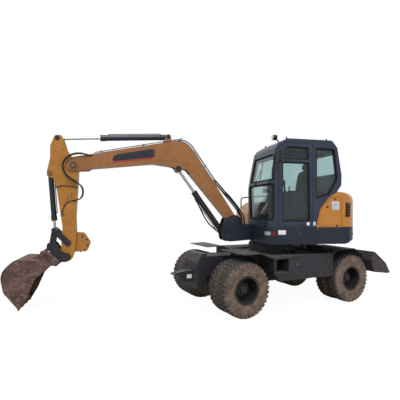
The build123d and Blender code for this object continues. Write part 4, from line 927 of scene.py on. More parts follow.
@dataclass
class Assembly:
    """A part of the machine that is dressed in one go, with the ways to make its pieces.

    Each piece has a name, the CAD body that it rides on (none for a piece that runs between
    two), and a look, its finish. A slot can be given where it isn't the usual one of the finish,
    but it is not used.
    """

    recipes: Recipes
    site: ClassVar[Site] = Site.HOUSE

    def new(self) -> Form:
        """An empty form in this part's layout."""
        return Form(self.site)

    def finish(
        self, mesh: Mesh, name: str, body: str | None, look: Look, smooth: float = SMOOTH,
        slot: str = "",
    ) -> Object:
        """Turn a mesh in this part's millimetres into a piece of the machine.

        Args:
            mesh: The mesh.
            name: The piece's name.
            body: Its body.
            look: Its finish.
            smooth: Largest angle between faces that are shaded as one, in degrees.
            slot: Not used.
        """
        mesh.transform(self.site.matrix())
        mesh.name = name
        mesh.materials.clear()
        mesh.materials.append(look.material())
        for polygon in mesh.polygons:
            polygon.use_smooth = True
            polygon.material_index = 0
        piece = bpy.data.objects.new(name, mesh)
        bpy.context.scene.collection.objects.link(piece)
        mesh.set_sharp_from_angle(angle=math.radians(smooth))
        if body:
            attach(piece, body)
        slot or SLOT_OF[look]
        LOG.info("%s: %d faces on %s", name, len(mesh.polygons), body)
        return piece

    def piece(self, name: str, form: Form, body: str, look: Look, smooth: float = SMOOTH) -> Object:
        """Turn a form into a piece."""
        return self.finish(form.mesh(), name, body, look, smooth)

    def turned(
        self, name: str, body: str, look: Look, profile: Sequence[Flat], places: Sequence[Point],
        axis: Point, sides: int = 24, smooth: float = SMOOTH,
    ) -> Object:
        """Turn a profile about an axis at each place, as one piece."""
        form = self.new()
        for at in places:
            form.lathe(profile, at, axis, sides)
        return self.piece(name, form, body, look, smooth)

    def plate(
        self, name: str, body: str, look: Look, corners: Sequence[Corner], low: float, high: float,
        axis: str = "y", bevel: float = 0.0,
    ) -> Object:
        """Make a plate with round corners from low to high along an axis."""
        form = self.new().prism(rounded(corners), low, high, axis, bevel)
        return self.piece(name, form, body, look)

    def bolts(
        self, name: str, body: str, points: Sequence[Point], axis: Point, radius: float,
        height: float, look: Look = Look.ZINC, sides: int = 6, slot: str = "",
    ) -> Object:
        """Stand a bolt head on each point, along an axis.

        Args:
            name: The piece's name.
            body: Its body.
            points: Where the heads' middles are.
            axis: Direction that they stand in.
            radius: Across the corners, halved.
            height: Of each head.
            look: Its finish.
            sides: Six for a hexagon, more for a round head.
            slot: Its slot.
        """
        turn = Vector((0, 0, 1)).rotation_difference(Vector(axis).normalized()).to_matrix().to_4x4()
        mesh = bpy.data.meshes.new("points")
        mesh.from_pydata([turn.inverted() @ Vector(p) for p in points], [], [])
        heads = self.recipes.studs.run(
            loose_object(mesh), Sides=sides, Radius=radius, Height=height, Material=look.material()
        )
        heads.transform(turn)
        return self.finish(heads, name, body, look, 30, slot)

    def tubes(
        self, name: str, body: str | None, routes: Iterable[Sequence[Point]], radius: float,
        look: Look, sides: int = 12,
    ) -> Object:
        """Sweep a round profile along each route of control points, as one piece."""
        settings = {"Sides": sides, "Radius": radius, "Material": look.material()}
        runs = [self.recipes.sweep.run(smooth_curve(route), **settings) for route in routes]
        return self.finish(join(runs), name, body, look, 50)

    def upward(self, name: str, form: Form, body: str, look: Look, rise: float) -> Object:
        """Repeat a form eight times, each one a rise above the last."""
        copies = self.recipes.row.run(
            loose_object(form.mesh()), Count=8, Step=(0.0, 0.0, rise), Material=look.material()
        )
        return self.finish(copies, name, body, look)


@dataclass
class Wheels(Assembly):
    """Twin tyres with block tread, and the small parts of their rims."""

    site: ClassVar[Site] = Site.GROUND
    # Half the wheelbase, the middle of a twin wheel off the middle line, and its tyres' spacing
    axle_x: float = 1145.0
    middle_y: float = 706.5
    pitch: float = 269.0
    # One tyre: outer radius, half width, radius under the blocks, and the rim's radius
    radius: float = 430.0
    half_width: float = 104.0
    carcass: float = 412.0
    bead: float = 207.0
    blocks: int = 34
    nuts: int = 10
    nut_circle: float = 148.0
    # Where the mud starts to be scrubbed off the blocks, and how deep that reaches
    scrub_start: float = 384.0
    scrub_depth: float = 40.0

    def build(self) -> None:
        """Make the tyres and rim parts of all four wheels."""
        for x, front in ((self.axle_x, "front"), (-self.axle_x, "rear")):
            for side, hand in SIDES:
                self._tyres(x, side, f"{front}_{hand}")
                self._rim_parts(x, side, f"{front}_{hand}")

    def _block(self, hand: int, shoulder: bool) -> Object:
        """One tread block at the top of the tyre.

        Args:
            hand: 1 for the outer half of the tread, -1 for the inner.
            shoulder: Whether it is a shoulder block rather than a middle one.
        """
        low = self.carcass - 10
        top = self.radius
        if shoulder:
            half = 28.0
            slant = 0.10
            section = [
                (57, low), (55, top - 1), (84, top - 3), (97, top - 14), (103, top - 42),
                (104, top - 70), (96, top - 74), (84, low - 8),
            ]
        else:
            half = 29.0
            slant = 0.42
            section = [(4, low), (5, top), (47, top - 0.5), (48, low)]
        form = self.new()
        near = []
        far = []
        for y, z in section:
            taper = 3.5 if z > top - 18 else 0.0
            shift = slant * (y - 50)
            near.append(form.bm.verts.new((shift - half + taper, hand * y, z)))
            far.append(form.bm.verts.new((shift + half - taper, hand * y, z)))
        faces = [form.bm.faces.new(near), form.bm.faces.new(far), *form.walls(near, far)]
        bmesh.ops.recalc_face_normals(form.bm, faces=faces)
        edges = [e for e in form.bm.edges if min(v.co.z for v in e.verts) > top - 20]
        bmesh.ops.bevel(form.bm, geom=edges, offset=3, segments=1, affect="EDGES")
        return loose_object(form.mesh())

    def _one_tyre(self) -> Mesh:
        """A tyre about the Y axis, in millimetres.

        Returns:
            A mesh with each point's share of scrubbing on it.
        """
        w = self.half_width
        half = [
            (w - 22, self.bead), (w - 15, self.bead + 6), (w - 12, 224), (w - 6, 229), (w - 7, 235),
            (w - 4, 258), (w - 1.5, 278), (w + 0.5, 282), (w, 300), (w - 0.5, 336), (w + 0.5, 340),
            (w - 4, 352), (w - 9, 380), (w - 18, 398), (w - 34, 408), (w - 72, self.carcass),
        ]
        whole = half + [(-y, r) for y, r in reversed(half)]
        form = self.new()
        form.lathe(whole, (0, 0, 0), (0, 1, 0), sides=68, closed=True)
        mesh = form.mesh()
        rubber = Look.TYRE.material()
        step = math.pi / self.blocks
        rows = ((1, False, 0.0), (1, True, step), (-1, False, step), (-1, True, 0.0))
        for hand, shoulder, phase in rows:
            block = self._block(hand, shoulder)
            settings = {"Block": block, "Count": self.blocks, "Phase": phase, "Material": rubber}
            mesh = self.recipes.around.run(loose_object(mesh), **settings)
            bpy.data.objects.remove(block)
        scrub = mesh.attributes.new("scrub", "FLOAT", "POINT")
        for vertex, item in zip(mesh.vertices, scrub.data):
            reach = math.hypot(vertex.co.x, vertex.co.z)
            item.value = min(1.0, max(0.0, (reach - self.scrub_start) / self.scrub_depth))
        return mesh

    def _tyres(self, x: float, side: int, corner: str) -> None:
        """The two tyres of one wheel, in place of their plain CAD solids.

        Args:
            x: Axle's place.
            side: 1 on the left, -1 on the right.
            corner: Which wheel.
        """
        pair = []
        for offset in (-0.5, 0.5):
            tyre = self._one_tyre()
            tyre.transform(Matrix.Rotation(0.07 * (1 + offset) + 0.3 * side, 4, "Y"))
            y = side * self.middle_y + offset * self.pitch
            tyre.transform(Matrix.Translation((x, y, self.radius)))
            pair.append(tyre)
        piece = self.finish(join(pair), f"tread_tyres_{corner}", f"wheel_{corner}", Look.TYRE, 28)
        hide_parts(f"tyres_{corner}")

    def _rim_parts(self, x: float, side: int, corner: str) -> None:
        """Wheel nuts, hub cap with its bolts, lock ring and valve.

        Args:
            x: Axle's place.
            side: 1 on the left, -1 on the right.
            corner: Which wheel.
        """
        body = f"wheel_{corner}"
        face = side * (self.middle_y + 15)
        z = self.radius
        nuts = circle(x, face + side * 9, z, self.nut_circle, self.nuts)
        self.bolts(
            f"wheel_nuts_{corner}", body, nuts, (0, side, 0), 16, 22, Look.BLACK_BOLT, slot="rim"
        )
        cap = self.new()
        start = side * (self.middle_y + 105)
        hub = [(-0.5, 104), (8, 104), (10, 96), (14, 92), (16, 62), (36, 58), (42, 50), (43, 0)]
        cap.lathe(hub, (x, start, z), (0, side, 0), 40)
        outer = side * (self.middle_y + self.pitch / 2 + self.half_width - 8)
        lock_ring = [
            (-26, 190), (-2, 190), (1.5, 194), (1.5, 214), (-2, 219), (-8, 223), (-12, 206),
            (-26, 204),
        ]
        cap.lathe(lock_ring, (x, outer, z), (0, side, 0), 64, closed=True)
        valve = (x + 172, side * (self.middle_y + 16), z + 60)
        cap.rod(valve, (x + 176, outer - side * 12, z + 62), 6, 10)
        self.piece(f"hub_cap_{corner}", cap, body, Look.RIM_PAINT)
        ring = circle(x, start + side * 18, z, 78, 8, math.pi / 8)
        way = (0, side, 0)
        self.bolts(f"hub_bolts_{corner}", body, ring, way, 9, 9, Look.BLACK_BOLT, slot="rim")


@dataclass
class Undercarriage(Assembly):
    """Small parts on the chassis, its side boxes, axles and blade."""

    site: ClassVar[Site] = Site.GROUND
    box_outer: float = 930.0
    # The swing ring: circle of its bolts, and its wall
    race: float = 420.0
    ring_wall: float = 438.0

    def build(self) -> None:
        """Make every piece of the undercarriage."""
        self._side_boxes()
        self._ring_bolts()
        self._nose()
        self._blade()
        self._steering_hoses()

    def _side_boxes(self) -> None:
        """Step treads, recess rims, locks and screws of both side boxes."""
        for side, hand in SIDES:
            y = side * self.box_outer
            tread = self.new()
            for i in range(4):
                x = 340 + i * 62
                low, high = sorted((y - side * 94, y - side * 6))
                tread.box((x, low, 650), (x + 44, high, 655), 1.5)
            self.piece(f"step_tread_{hand}", tread, "chassis", Look.CHASSIS_PAINT)
            rim = self.new()
            outer = [(313, 638, 30), (602, 638, 30), (602, 884, 30), (313, 884, 30)]
            inner = [(327, 652, 22), (588, 652, 22), (588, 870, 22), (327, 870, 22)]
            low, high = sorted((y, y + side * 4))
            rim.band(rounded(outer), rounded(inner), lambda a, b, t: (a, t, b), low, high)
            self.piece(f"recess_rim_{hand}", rim, "chassis", Look.CHASSIS_PAINT)
            barrel = [(0, 19), (5, 19), (7, 15), (7, 8), (3, 7), (3, 0)]
            body = f"locker_{hand}"
            way = (0, side, 0)
            self.turned(f"locker_lock_{hand}", body, Look.ZINC, barrel, [(145, y, 770)], way)
            screws = [(x, y + side * 3, z) for x in (-600, 190) for z in (590, 850)]
            self.bolts(f"locker_screws_{hand}", body, screws, way, 7, 6, Look.BLACK_BOLT, 12)

    def _ring_bolts(self) -> None:
        """Bolts of the swing ring's fixed race and the plugs on its wall."""
        angles = [2 * math.pi * i / 28 for i in range(28)]
        ring = [(SWING_X + self.race * math.cos(a), self.race * math.sin(a), 1035) for a in angles]
        self.bolts("swing_ring_bolts", "chassis", ring, (0, 0, 1), 11, 12, Look.BLACK_BOLT)
        for index in range(6):
            angle = 2 * math.pi * (index + 0.5) / 6
            way = (math.cos(angle), math.sin(angle), 0.0)
            place = (SWING_X + self.ring_wall * way[0], self.ring_wall * way[1], 960.0)
            self.bolts(f"swing_ring_plug_{index}", "chassis", [place], way, 14, 14, Look.ZINC)

    def _nose(self) -> None:
        """Blank plate on the towing jaw's side and the bolts of the nose."""
        corners = [(1664, 508, 6), (1752, 508, 6), (1752, 572, 6), (1664, 572, 6)]
        self.plate("blank_nose_plate", "chassis", Look.WHITE_FOIL, corners, 70, 72.5, bevel=0.5)
        bolts = [(1686 - 0.0454 * z, y, z) for y in (-215, 215) for z in (430, 560, 690)]
        self.bolts("nose_bolts", "chassis", bolts, (1, 0, 0), 15, 14, Look.BLACK_BOLT)

    def _blade(self) -> None:
        """Bolts of the blade's cutting edge, and the edge itself, scoured bright."""
        row = [(-2132, y, 493) for y in range(-840, 841, 240)]
        self.bolts("cutting_edge_bolts", "dozer", row, (-0.21, 0, 0.98), 14, 12, Look.BLACK_BOLT)
        corners = [(-2224, 468, 0), (-2165, 481, 0), (-2165, 484, 0), (-2224, 471, 0)]
        self.plate("scoured_edge", "dozer", Look.TOOTH_STEEL, corners, -936, 936)

    def _steering_hoses(self) -> None:
        """Two hoses from the beam to the steering cylinder."""
        routes = [
            [(1230, s * 60, 562), (1260, s * 80, 545), (1330, s * 118, 530), (1335, s * 125, 466)]
            for s in (-1, 1)
        ]
        self.tubes("steering_hoses", "chassis", routes, 9, Look.HOSE_RUBBER)


@dataclass
class UpperStructure(Assembly):
    """Small parts on the deck, counterweight and covers."""

    # The side walls, and the middle and radius of the round tail
    side_y: float = 930.0
    tail_x: float = -300.0
    tail_radius: float = 1185.0
    # The deck's round front corner and a lens that lies on it
    corner: Flat = (305.0, 790.0)
    lens_radius: float = 149.5

    def build(self) -> None:
        """Make every piece of the upper structure."""
        self._deck()
        self._marker_lamps()
        self._covers()
        self._hood_vents()
        self._tank_side()

    def _deck(self) -> None:
        """Blank plate, bolts and tail lamps of deck and counterweight."""
        y = self.side_y
        plates = self.new().box((150, y, 1255), (286, y + 1.5, 1328), 0.5)
        self.piece("blank_deck_plate", plates, "upper", Look.WHITE_FOIL)
        row = [(x, y + 4, 1352) for x in (-60, -420, -800)]
        row += [(-90, y + 3, 1296), (-110, y + 3, 1262)]
        self.bolts("deck_bolts", "upper", row, (0, 1, 0), 12, 10, Look.ZINC)
        mirror = [(x, -y - 4, 1352) for x in (280, -60, -420, -800)]
        self.bolts("deck_bolts_right", "upper", mirror, (0, -1, 0), 12, 10, Look.ZINC)
        tail = self.new()
        for side in (-1, 1):
            angle = math.radians(180 - side * 26)
            way = (math.cos(angle), math.sin(angle), 0.0)
            place = (self.tail_x + self.tail_radius * way[0], self.tail_radius * way[1], 1240.0)
            tail.lathe([(-8, 46), (10, 46), (14, 40), (15, 0)], place, way, 28)
        self.piece("tail_lamps", tail, "upper", Look.RED_LENS)

    def _corner_band(self, start: float, end: float, front_run: float) -> Form:
        """A lens that follows the deck's round front corner.

        Args:
            start: Start angle from the side wall, in degrees.
            end: End angle.
            front_run: How far it runs on along the front face.
        """
        way = []
        for k in range(7):
            angle = math.radians(start + (end - start) * k / 6)
            x = self.corner[0] + self.lens_radius * math.sin(angle)
            way.append((x, self.corner[1] + self.lens_radius * math.cos(angle)))
        if front_run:
            way.append((way[-1][0], way[-1][1] - front_run))
        rows = [[(x, y, z) for x, y in way] for z in (1243, 1262, 1284, 1303)]
        return self.new().grid(rows, -4.0)

    def _marker_lamps(self) -> None:
        """White and red lens round the deck's front left corner."""
        self.piece("front_marker_lens", self._corner_band(43, 90, 36), "upper", Look.CLEAR_LENS)
        self.piece("side_marker_lens", self._corner_band(13, 41, 0), "upper", Look.RED_LENS)

    def _covers(self) -> None:
        """Locks, blank plate and pressed seams of the side cover."""
        y = self.side_y
        profile = [(0, 17), (6, 17), (8, 13), (8, 0)]
        places = [(x, y - 0.5, z) for x, z in ((-608, 1721), (-747, 1852), (-787, 1404))]
        self.turned(
            "side_cover_locks", "cover_left", Look.BLACK_PLASTIC, profile, places, (0, 1, 0)
        )
        plates = self.new().box((-835, y + 0.2, 1676), (-690, y + 1.6, 1818), 0.5)
        self.piece("blank_cover_plate", plates, "cover_left", Look.PALE_FOIL)
        seam = [
            (-500, 1450), (-500, 1470), (-560, 1600), (-610, 1690), (-640, 1712), (-668, 1712),
            (-672, 1700), (-672, 1450), (-668, 1436), (-640, 1432), (-520, 1432), (-504, 1436),
            (-500, 1450),
        ]
        route = [(x, y, z) for x, z in seam]
        self.tubes("pressed_seams", "cover_left", [route], 3.5, Look.COVER_ENAMEL, sides=8)

    def _wall_y(self, x: float) -> float:
        """Half the house's width at a place along it, with its round tail."""
        return min(self.side_y, math.sqrt(max(0.0, self.tail_radius**2 - (x - self.tail_x) ** 2)))

    def _hood_vents(self) -> None:
        """Slanted side vents of the hood with their louvres, and the slats of the rear grille."""
        for side, hand in SIDES:
            slope = (1806, 0.0), (1796, 8.0), (1700, 4.0), (1600, 0.0), (1556, 0.0), (1548, -14.0)
            rows = []
            for z, rear in slope:
                lean = (1800 - z) * 0.1
                xs = [-950 + lean * 0.2 - (118 + rear - lean) * k / 8 for k in range(9)]
                rows.append([(x, side * self._wall_y(x), z) for x in xs])
            vent = self.new().grid(rows, side * 3.0)
            self.piece(f"hood_vent_{hand}", vent, "hood", Look.BLACK_PLASTIC)
            xs = [-960 - 92 * k / 6 for k in range(7)]
            rows = [
                [(x, side * (self._wall_y(x) + out), z) for x in xs]
                for out, z in ((2, 1566), (7, 1572), (7, 1577), (2, 1583))
            ]
            fin = self.new().grid(rows, side * 1.0)
            self.upward(f"hood_louvres_{hand}", fin, "hood", Look.BLACK_PLASTIC, 28.0)
        arc = [math.pi - 0.34 + 0.68 * k / 12 for k in range(13)]
        rows = [
            [(self.tail_x + r * math.cos(a), r * math.sin(a), z) for a in arc]
            for r, z in ((1181, 1500), (1189, 1503), (1190, 1512), (1181, 1518))
        ]
        slat = self.new().grid(rows, 1.5)
        self.upward("rear_grille_slats", slat, "hood", Look.BLACK_PLASTIC, 34.0)

    def _tank_side(self) -> None:
        """Filler cap and screws of the tank cover."""
        profile = [(-4, 48), (16, 48), (22, 42), (24, 0)]
        at = (-120, -500, 1822)
        self.turned("filler_cap", "upper", Look.BLACK_PLASTIC, profile, [at], (0.07, 0, 1), 32)
        screws = [(x, -self.side_y - 2, z) for x in (-330, 280) for z in (1430, 1580)]
        self.bolts("tank_cover_screws", "upper", screws, (0, -1, 0), 9, 6, Look.BLACK_BOLT, 12)


@dataclass
class Cab(Assembly):
    """Window edges, door fittings, wiper, mirror, roof fittings and the driver's place."""

    # The left wall's outer face and its panes' outer face
    side_y: float = 930.0
    pane_y: float = 904.0
    # The front wall leans out from the deck to a bend and back to the roof, as x and z
    deck: Flat = (440.0, 1380.0)
    bend: Flat = (467.0, 2020.0)
    top: Flat = (340.0, 2690.0)
    # Its round left corner, which ends where the side wall begins
    corner: Flat = (330.0, 790.0)
    corner_radius: float = 140.0
    side_wall_x: float = 352.0
    # The windows' right edge, how far along them they are flat at least, and their whole way
    right_y: float = 5.0
    flat_way: float = 700.0
    whole_way: float = 900.0
    # Where the wall leans back past the side wall's start, how long its flat part is
    leaning_way: float = 863.0

    def build(self) -> None:
        """Make every piece of the cab."""
        self._window_edges()
        self._door_furniture()
        self._roof()
        self._wiper()
        self._mirror_and_rails()
        self._seat()
        self._controls()

    @staticmethod
    def _band(form: Form, corners: Sequence[Corner], width: float, low: float, high: float) -> None:
        """Add a flat frame inside an opening in a side wall.

        Args:
            form: The form that gets it.
            corners: The opening's corners with their radii, counter-clockwise.
            width: Width of the frame.
            low: Start along Y.
            high: End along Y.
        """
        inner = rounded(inset(corners, width))
        form.band(rounded(corners), inner, lambda a, b, t: (a, t, b), low, high)

    def _front(self, a: float, z: float, depth: float) -> Point:
        """A point of the front wall, which bends round its left corner.

        Args:
            a: Way from the right edge of the windows; the whole way ends on the side wall.
            z: Height.
            depth: How far it lies inside the wall's outer face.
        """
        (deck_x, deck_z), (bend_x, bend_z), (top_x, top_z) = self.deck, self.bend, self.top
        if z < bend_z:
            rise = (z - deck_z - depth) / (bend_z - deck_z - depth)
            face = deck_x - depth + (bend_x - deck_x) * rise
        else:
            lean = (bend_x - top_x - 0.2 * depth) / (top_z - bend_z - 0.5 * depth)
            face = bend_x - depth - (z - bend_z) * lean
        radius = self.corner_radius
        middle_x, middle_y = (v - depth for v in self.corner)
        start = math.acos(max(-1.0, min(1.0, (face - middle_x) / radius)))
        end = math.acos((self.side_wall_x - middle_x) / radius)
        flat = self.leaning_way
        if face > self.side_wall_x:
            flat = middle_y + radius * math.sin(start) - self.right_y
        total = flat + radius * max(0.0, end - start)
        way = a
        if a > self.flat_way:
            share = (a - self.flat_way) / (self.whole_way - self.flat_way)
            way = self.flat_way + share * (total - self.flat_way)
        if way <= flat:
            return (face, self.right_y + way, z)
        angle = start + (way - flat) / radius
        return (middle_x + radius * math.cos(angle), middle_y + radius * math.sin(angle), z)

    def _window_edges(self) -> None:
        """Rubber seals in the openings and the black edge of every pane."""
        lower = [(-292, 1470, 40), (222, 1470, 40), (222, 2470, 30), (-270, 2470, 30)]
        upper = [
            (-265, 2505, 30), (222, 2505, 30), (190, 2660, 30), (125, 2725, 30), (-255, 2725, 30),
        ]
        quarter = [
            (-385, 1850, 30), (-385, 2725, 30), (-745, 2715, 60), (-800, 2190, 60),
            (-640, 1915, 30),
        ]
        right = [
            (370, 1720, 40), (385, 2030, 30), (270, 2640, 60), (-700, 2700, 60), (-780, 2190, 60),
            (-600, 1980, 30), (-400, 1720, 40),
        ]
        y = self.pane_y
        door = self.new()
        for corners in (lower, upper):
            self._band(door, corners, 13, y, self.side_y - 4)
            self._band(door, inset(corners, 12.5), 18, y, y + 0.8)
        self.piece("door_seals", door, "door", Look.SEAL_RUBBER)
        fixed = self.new()
        self._band(fixed, quarter, 13, y, self.side_y - 2)
        self._band(fixed, inset(quarter, 12.5), 26, y, y + 0.8)
        self._band(fixed, right, 13, -68, -44)
        self._band(fixed, inset(right, 12.5), 22, -44.8, -44)
        # The rear window, then both front panes, which run round the left front corner
        base = Vector((-840, 0, 2270))
        along = Vector((68, 0, 390))
        length = along.length
        along.normalize()
        normal = Vector((-along.z, 0, along.x))

        def rear(a: float, b: float, t: float) -> Point:
            """A point of the slanted rear window, from its y, its rise and its depth."""
            return tuple(base + along * b + normal * t + Vector((0, a, 0)))

        edge = [(20, 0, 40), (830, 0, 40), (830, length, 40), (20, length, 40)]
        fixed.band(rounded(edge), rounded(inset(edge, 13)), rear, 4, 24)
        fixed.band(rounded(inset(edge, 12.5)), rounded(inset(edge, 34)), rear, 4, 4.8)
        far = self.whole_way
        for low, high in ((1480, 2102), (2142, 2600)):
            edge = [(0, low, 40), (far, low, 30), (far, high, 30), (0, high, 40)]
            outlines = (edge, inset(edge, 12), inset(edge, 34))
            outer, middle, inner = (rounded(corners) for corners in outlines)
            fixed.band(*in_steps(outer, middle), self._front, 6, 26)
            fixed.band(*in_steps(middle, inner), self._front, 25.2, 26)
        self.piece("window_seals", fixed, "upper", Look.SEAL_RUBBER)

    def _door_furniture(self) -> None:
        """Hinge screws, lock plate, blank plates and grab bar of the door."""
        y = self.side_y
        screws = [(x, y + 6, z + 26) for z in (1560, 2150, 2600) for x in (-316, -300)]
        self.bolts("door_hinge_screws", "door", screws, (0, 1, 0), 6, 5, Look.CAB_COAT)
        lock = [(205, 1938, 14), (274, 1938, 14), (274, 2012, 14), (205, 2012, 14)]
        self.plate("door_lock_plate", "door", Look.CAB_COAT, lock, y - 0.5, y + 3, bevel=1)
        profile = [(0, 30), (1.5, 30), (1.5, 0)]
        at = (-252, y - 0.2, 1436)
        self.turned("blank_round_plate", "door", Look.WHITE_FOIL, profile, [at], (0, 1, 0), 32)
        plate = self.new().box((-390, y - 0.2, 1404), (-342, y + 1.4, 1468), 0.5)
        self.piece("blank_pillar_plate", plate, "upper", Look.PALE_FOIL)
        grip = ((62, 1700), (84, 1712), (84, 1760), (84, 2000), (84, 2048), (62, 2060))
        bar = [(60, y - depth, z) for depth, z in grip]
        self.tubes("door_grab_bar", "door", [bar], 10, Look.BLACK_PLASTIC)

    def _roof(self) -> None:
        """Lifting knobs on the roof and the work lamp's lens."""
        knob = [(-2, 16), (6, 16), (8, 9), (20, 9), (22, 15), (30, 15), (33, 10), (34, 0)]
        places = [(x, y, z) for x, z in ((125, 2852), (-611, 2856.5)) for y in (880, -20)]
        self.turned("roof_knobs", "upper", Look.BLACK_PLASTIC, knob, places, (0, 0, 1), 20)
        lens = [(-1, 42), (4, 40), (8, 29), (9, 0)]
        at = (297, 700, 2903)
        self.turned("work_lamp_lens", "upper", Look.CLEAR_LENS, lens, [at], (1, 0, 0), 36)

    def _wiper(self) -> None:
        """The windscreen's wiper with its motor cap."""
        wiper = self.new()
        wiper.lathe([(-2, 19), (10, 18), (16, 11), (17, 0)], (447.5, 300, 2121), (1, 0, 0.19), 20)
        wiper.rod((461, 300, 2123), (393, 422, 2350), 5, 10)
        wiper.rod((418, 424, 2180), (354, 424, 2525), 5, 10)
        self.piece("wiper", wiper, "upper", Look.BLACK_PLASTIC)

    def _mirror_and_rails(self) -> None:
        """Mirror pod on the left and handrail on the right, in place of their plain CAD form."""
        mirror = self.new()
        mirror.rod((330, 880, 2600), (342, 1010, 2590), 11, 14)
        head = rounded([(1000, 2425, 34), (1142, 2425, 34), (1150, 2650, 40), (995, 2665, 40)])
        mirror.prism(head, 318, 366, "x", 12)
        piece = self.piece("left_mirror", mirror, "upper", Look.BLACK_PLASTIC)
        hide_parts("rails_and_mirrors")
        pane = [(1012, 2440, 26), (1132, 2440, 26), (1138, 2640, 30), (1008, 2650, 30)]
        self.plate("mirror_glass", "upper", Look.MIRROR, pane, 316, 318.5, "x")
        rail = (
            (330, 1610), (330, 1640), (330, 1870), (318, 1898), (290, 1906), (-210, 1956),
            (-240, 1946), (-250, 1920), (-250, 1815),
        )
        route = [(x, -860, z) for x, z in rail]
        self.tubes("right_handrail", "upper", [route], 14, Look.GREY_PAINT, sides=16)

    def _seat(self) -> None:
        """Suspension box, shell, cushions and headrest, in place of the plain CAD seat."""
        box = self.new()
        box.box((-320, 262, 1440), (100, 638, 1520), 12)
        for k in range(6):
            z = 1520 + k * 32
            box.box((-312, 270, z + 3), (92, 630, z + 29), 10)
        box.box((-340, 250, 1712), (130, 650, 1752), 14)
        shell = [
            (-345, 1752, 20), (-380, 1790, 20), (-465, 2370, 40), (-520, 2375, 20),
            (-432, 1765, 30),
        ]
        box.prism(rounded(shell), 250, 650, "y", 8)
        piece = self.piece("seat_base", box, "upper", Look.CAB_PLASTIC)
        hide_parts("seat")
        cushion = self._pad((-95, 450, 1812), (500, 470, 150), 30, -0.03, "seat_cushion")
        back = self._pad((-398, 450, 2095), (130, 460, 570), 30, -0.15, "seat_back")
        head = self._pad((-476, 450, 2450), (100, 280, 150), 22, -0.12, "head_rest")
        posts = [[(-480, y, 2350), (-482, y, 2365), (-484, y, 2420)] for y in (390, 510)]
        self.tubes("head_rest_posts", "upper", posts, 7, Look.ZINC)

    def _controls(self) -> None:
        """Knobs, gaiters and pads on the consoles, the dash and the sun shade."""
        gear = self.new()
        for y in (140, 760):
            gear.box((-246, y - 56, 1958), (30, y + 56, 1992), 12)
            gaiter = [(0, 34), (14, 32), (20, 22), (34, 24), (40, 17), (60, 15)]
            gear.lathe(gaiter, (92, y, 1958), (0.1, 0, 1), 20)
            knob = [(0, 18), (12, 23), (70, 25), (92, 20), (100, 8), (101, 0)]
            gear.lathe(knob, (107, y, 2070), (0.1, 0, 1), 20)
        gear.box((238, 340, 1960), (320, 540, 2040), 14)
        for y in (360, 520):
            pedal = rounded([(190, 1452, 4), (300, 1500, 4), (304, 1512, 4), (186, 1464, 4)])
            gear.prism(pedal, y - 40, y + 40, "y", 2)
        self.piece("console_parts", gear, "upper", Look.BLACK_PLASTIC)
        shade = [(262, 2700, 3), (300, 2515, 3), (306, 2516, 3), (268, 2702, 3)]
        self.plate("sun_shade", "upper", Look.BLACK_PLASTIC, shade, 30, 770, bevel=1)

    def _pad(self, middle: Point, size: Point, crown: float, lean: float, name: str) -> Object:
        """A stuffed cushion with crowned faces and soft corners.

        Args:
            middle: Its middle.
            size: Its lengths along X, Y and Z.
            crown: How far its faces swell.
            lean: Turn about Y in radians.
            name: The piece's name.
        """
        form = self.new()
        bmesh.ops.create_cube(form.bm, size=1.0)
        bmesh.ops.subdivide_edges(form.bm, edges=form.bm.edges[:], cuts=15, use_grid_fill=True)
        turn = Matrix.Rotation(lean, 3, "Y")
        for vert in form.bm.verts:
            unit = vert.co * 2
            swell = Vector()
            for k in range(3):
                i, j = (k + 1) % 3, (k + 2) % 3
                bulge = (1 - unit[i] ** 2) * (1 - unit[j] ** 2)
                groove = 1.0 - 0.25 * math.exp(-((abs(unit.y) - 0.62) / 0.05) ** 2)
                swell[k] = unit[k] * bulge * crown * groove
            norm = max(1e-6, sum(abs(v) ** 7 for v in unit) ** (1 / 7))
            soft = unit / norm
            local = Vector((soft[k] * (size[k] / 2 - crown) + swell[k] for k in range(3)))
            vert.co = turn @ local + Vector(middle)
        return self.piece(name, form, "upper", Look.SEAT_CLOTH, 60)


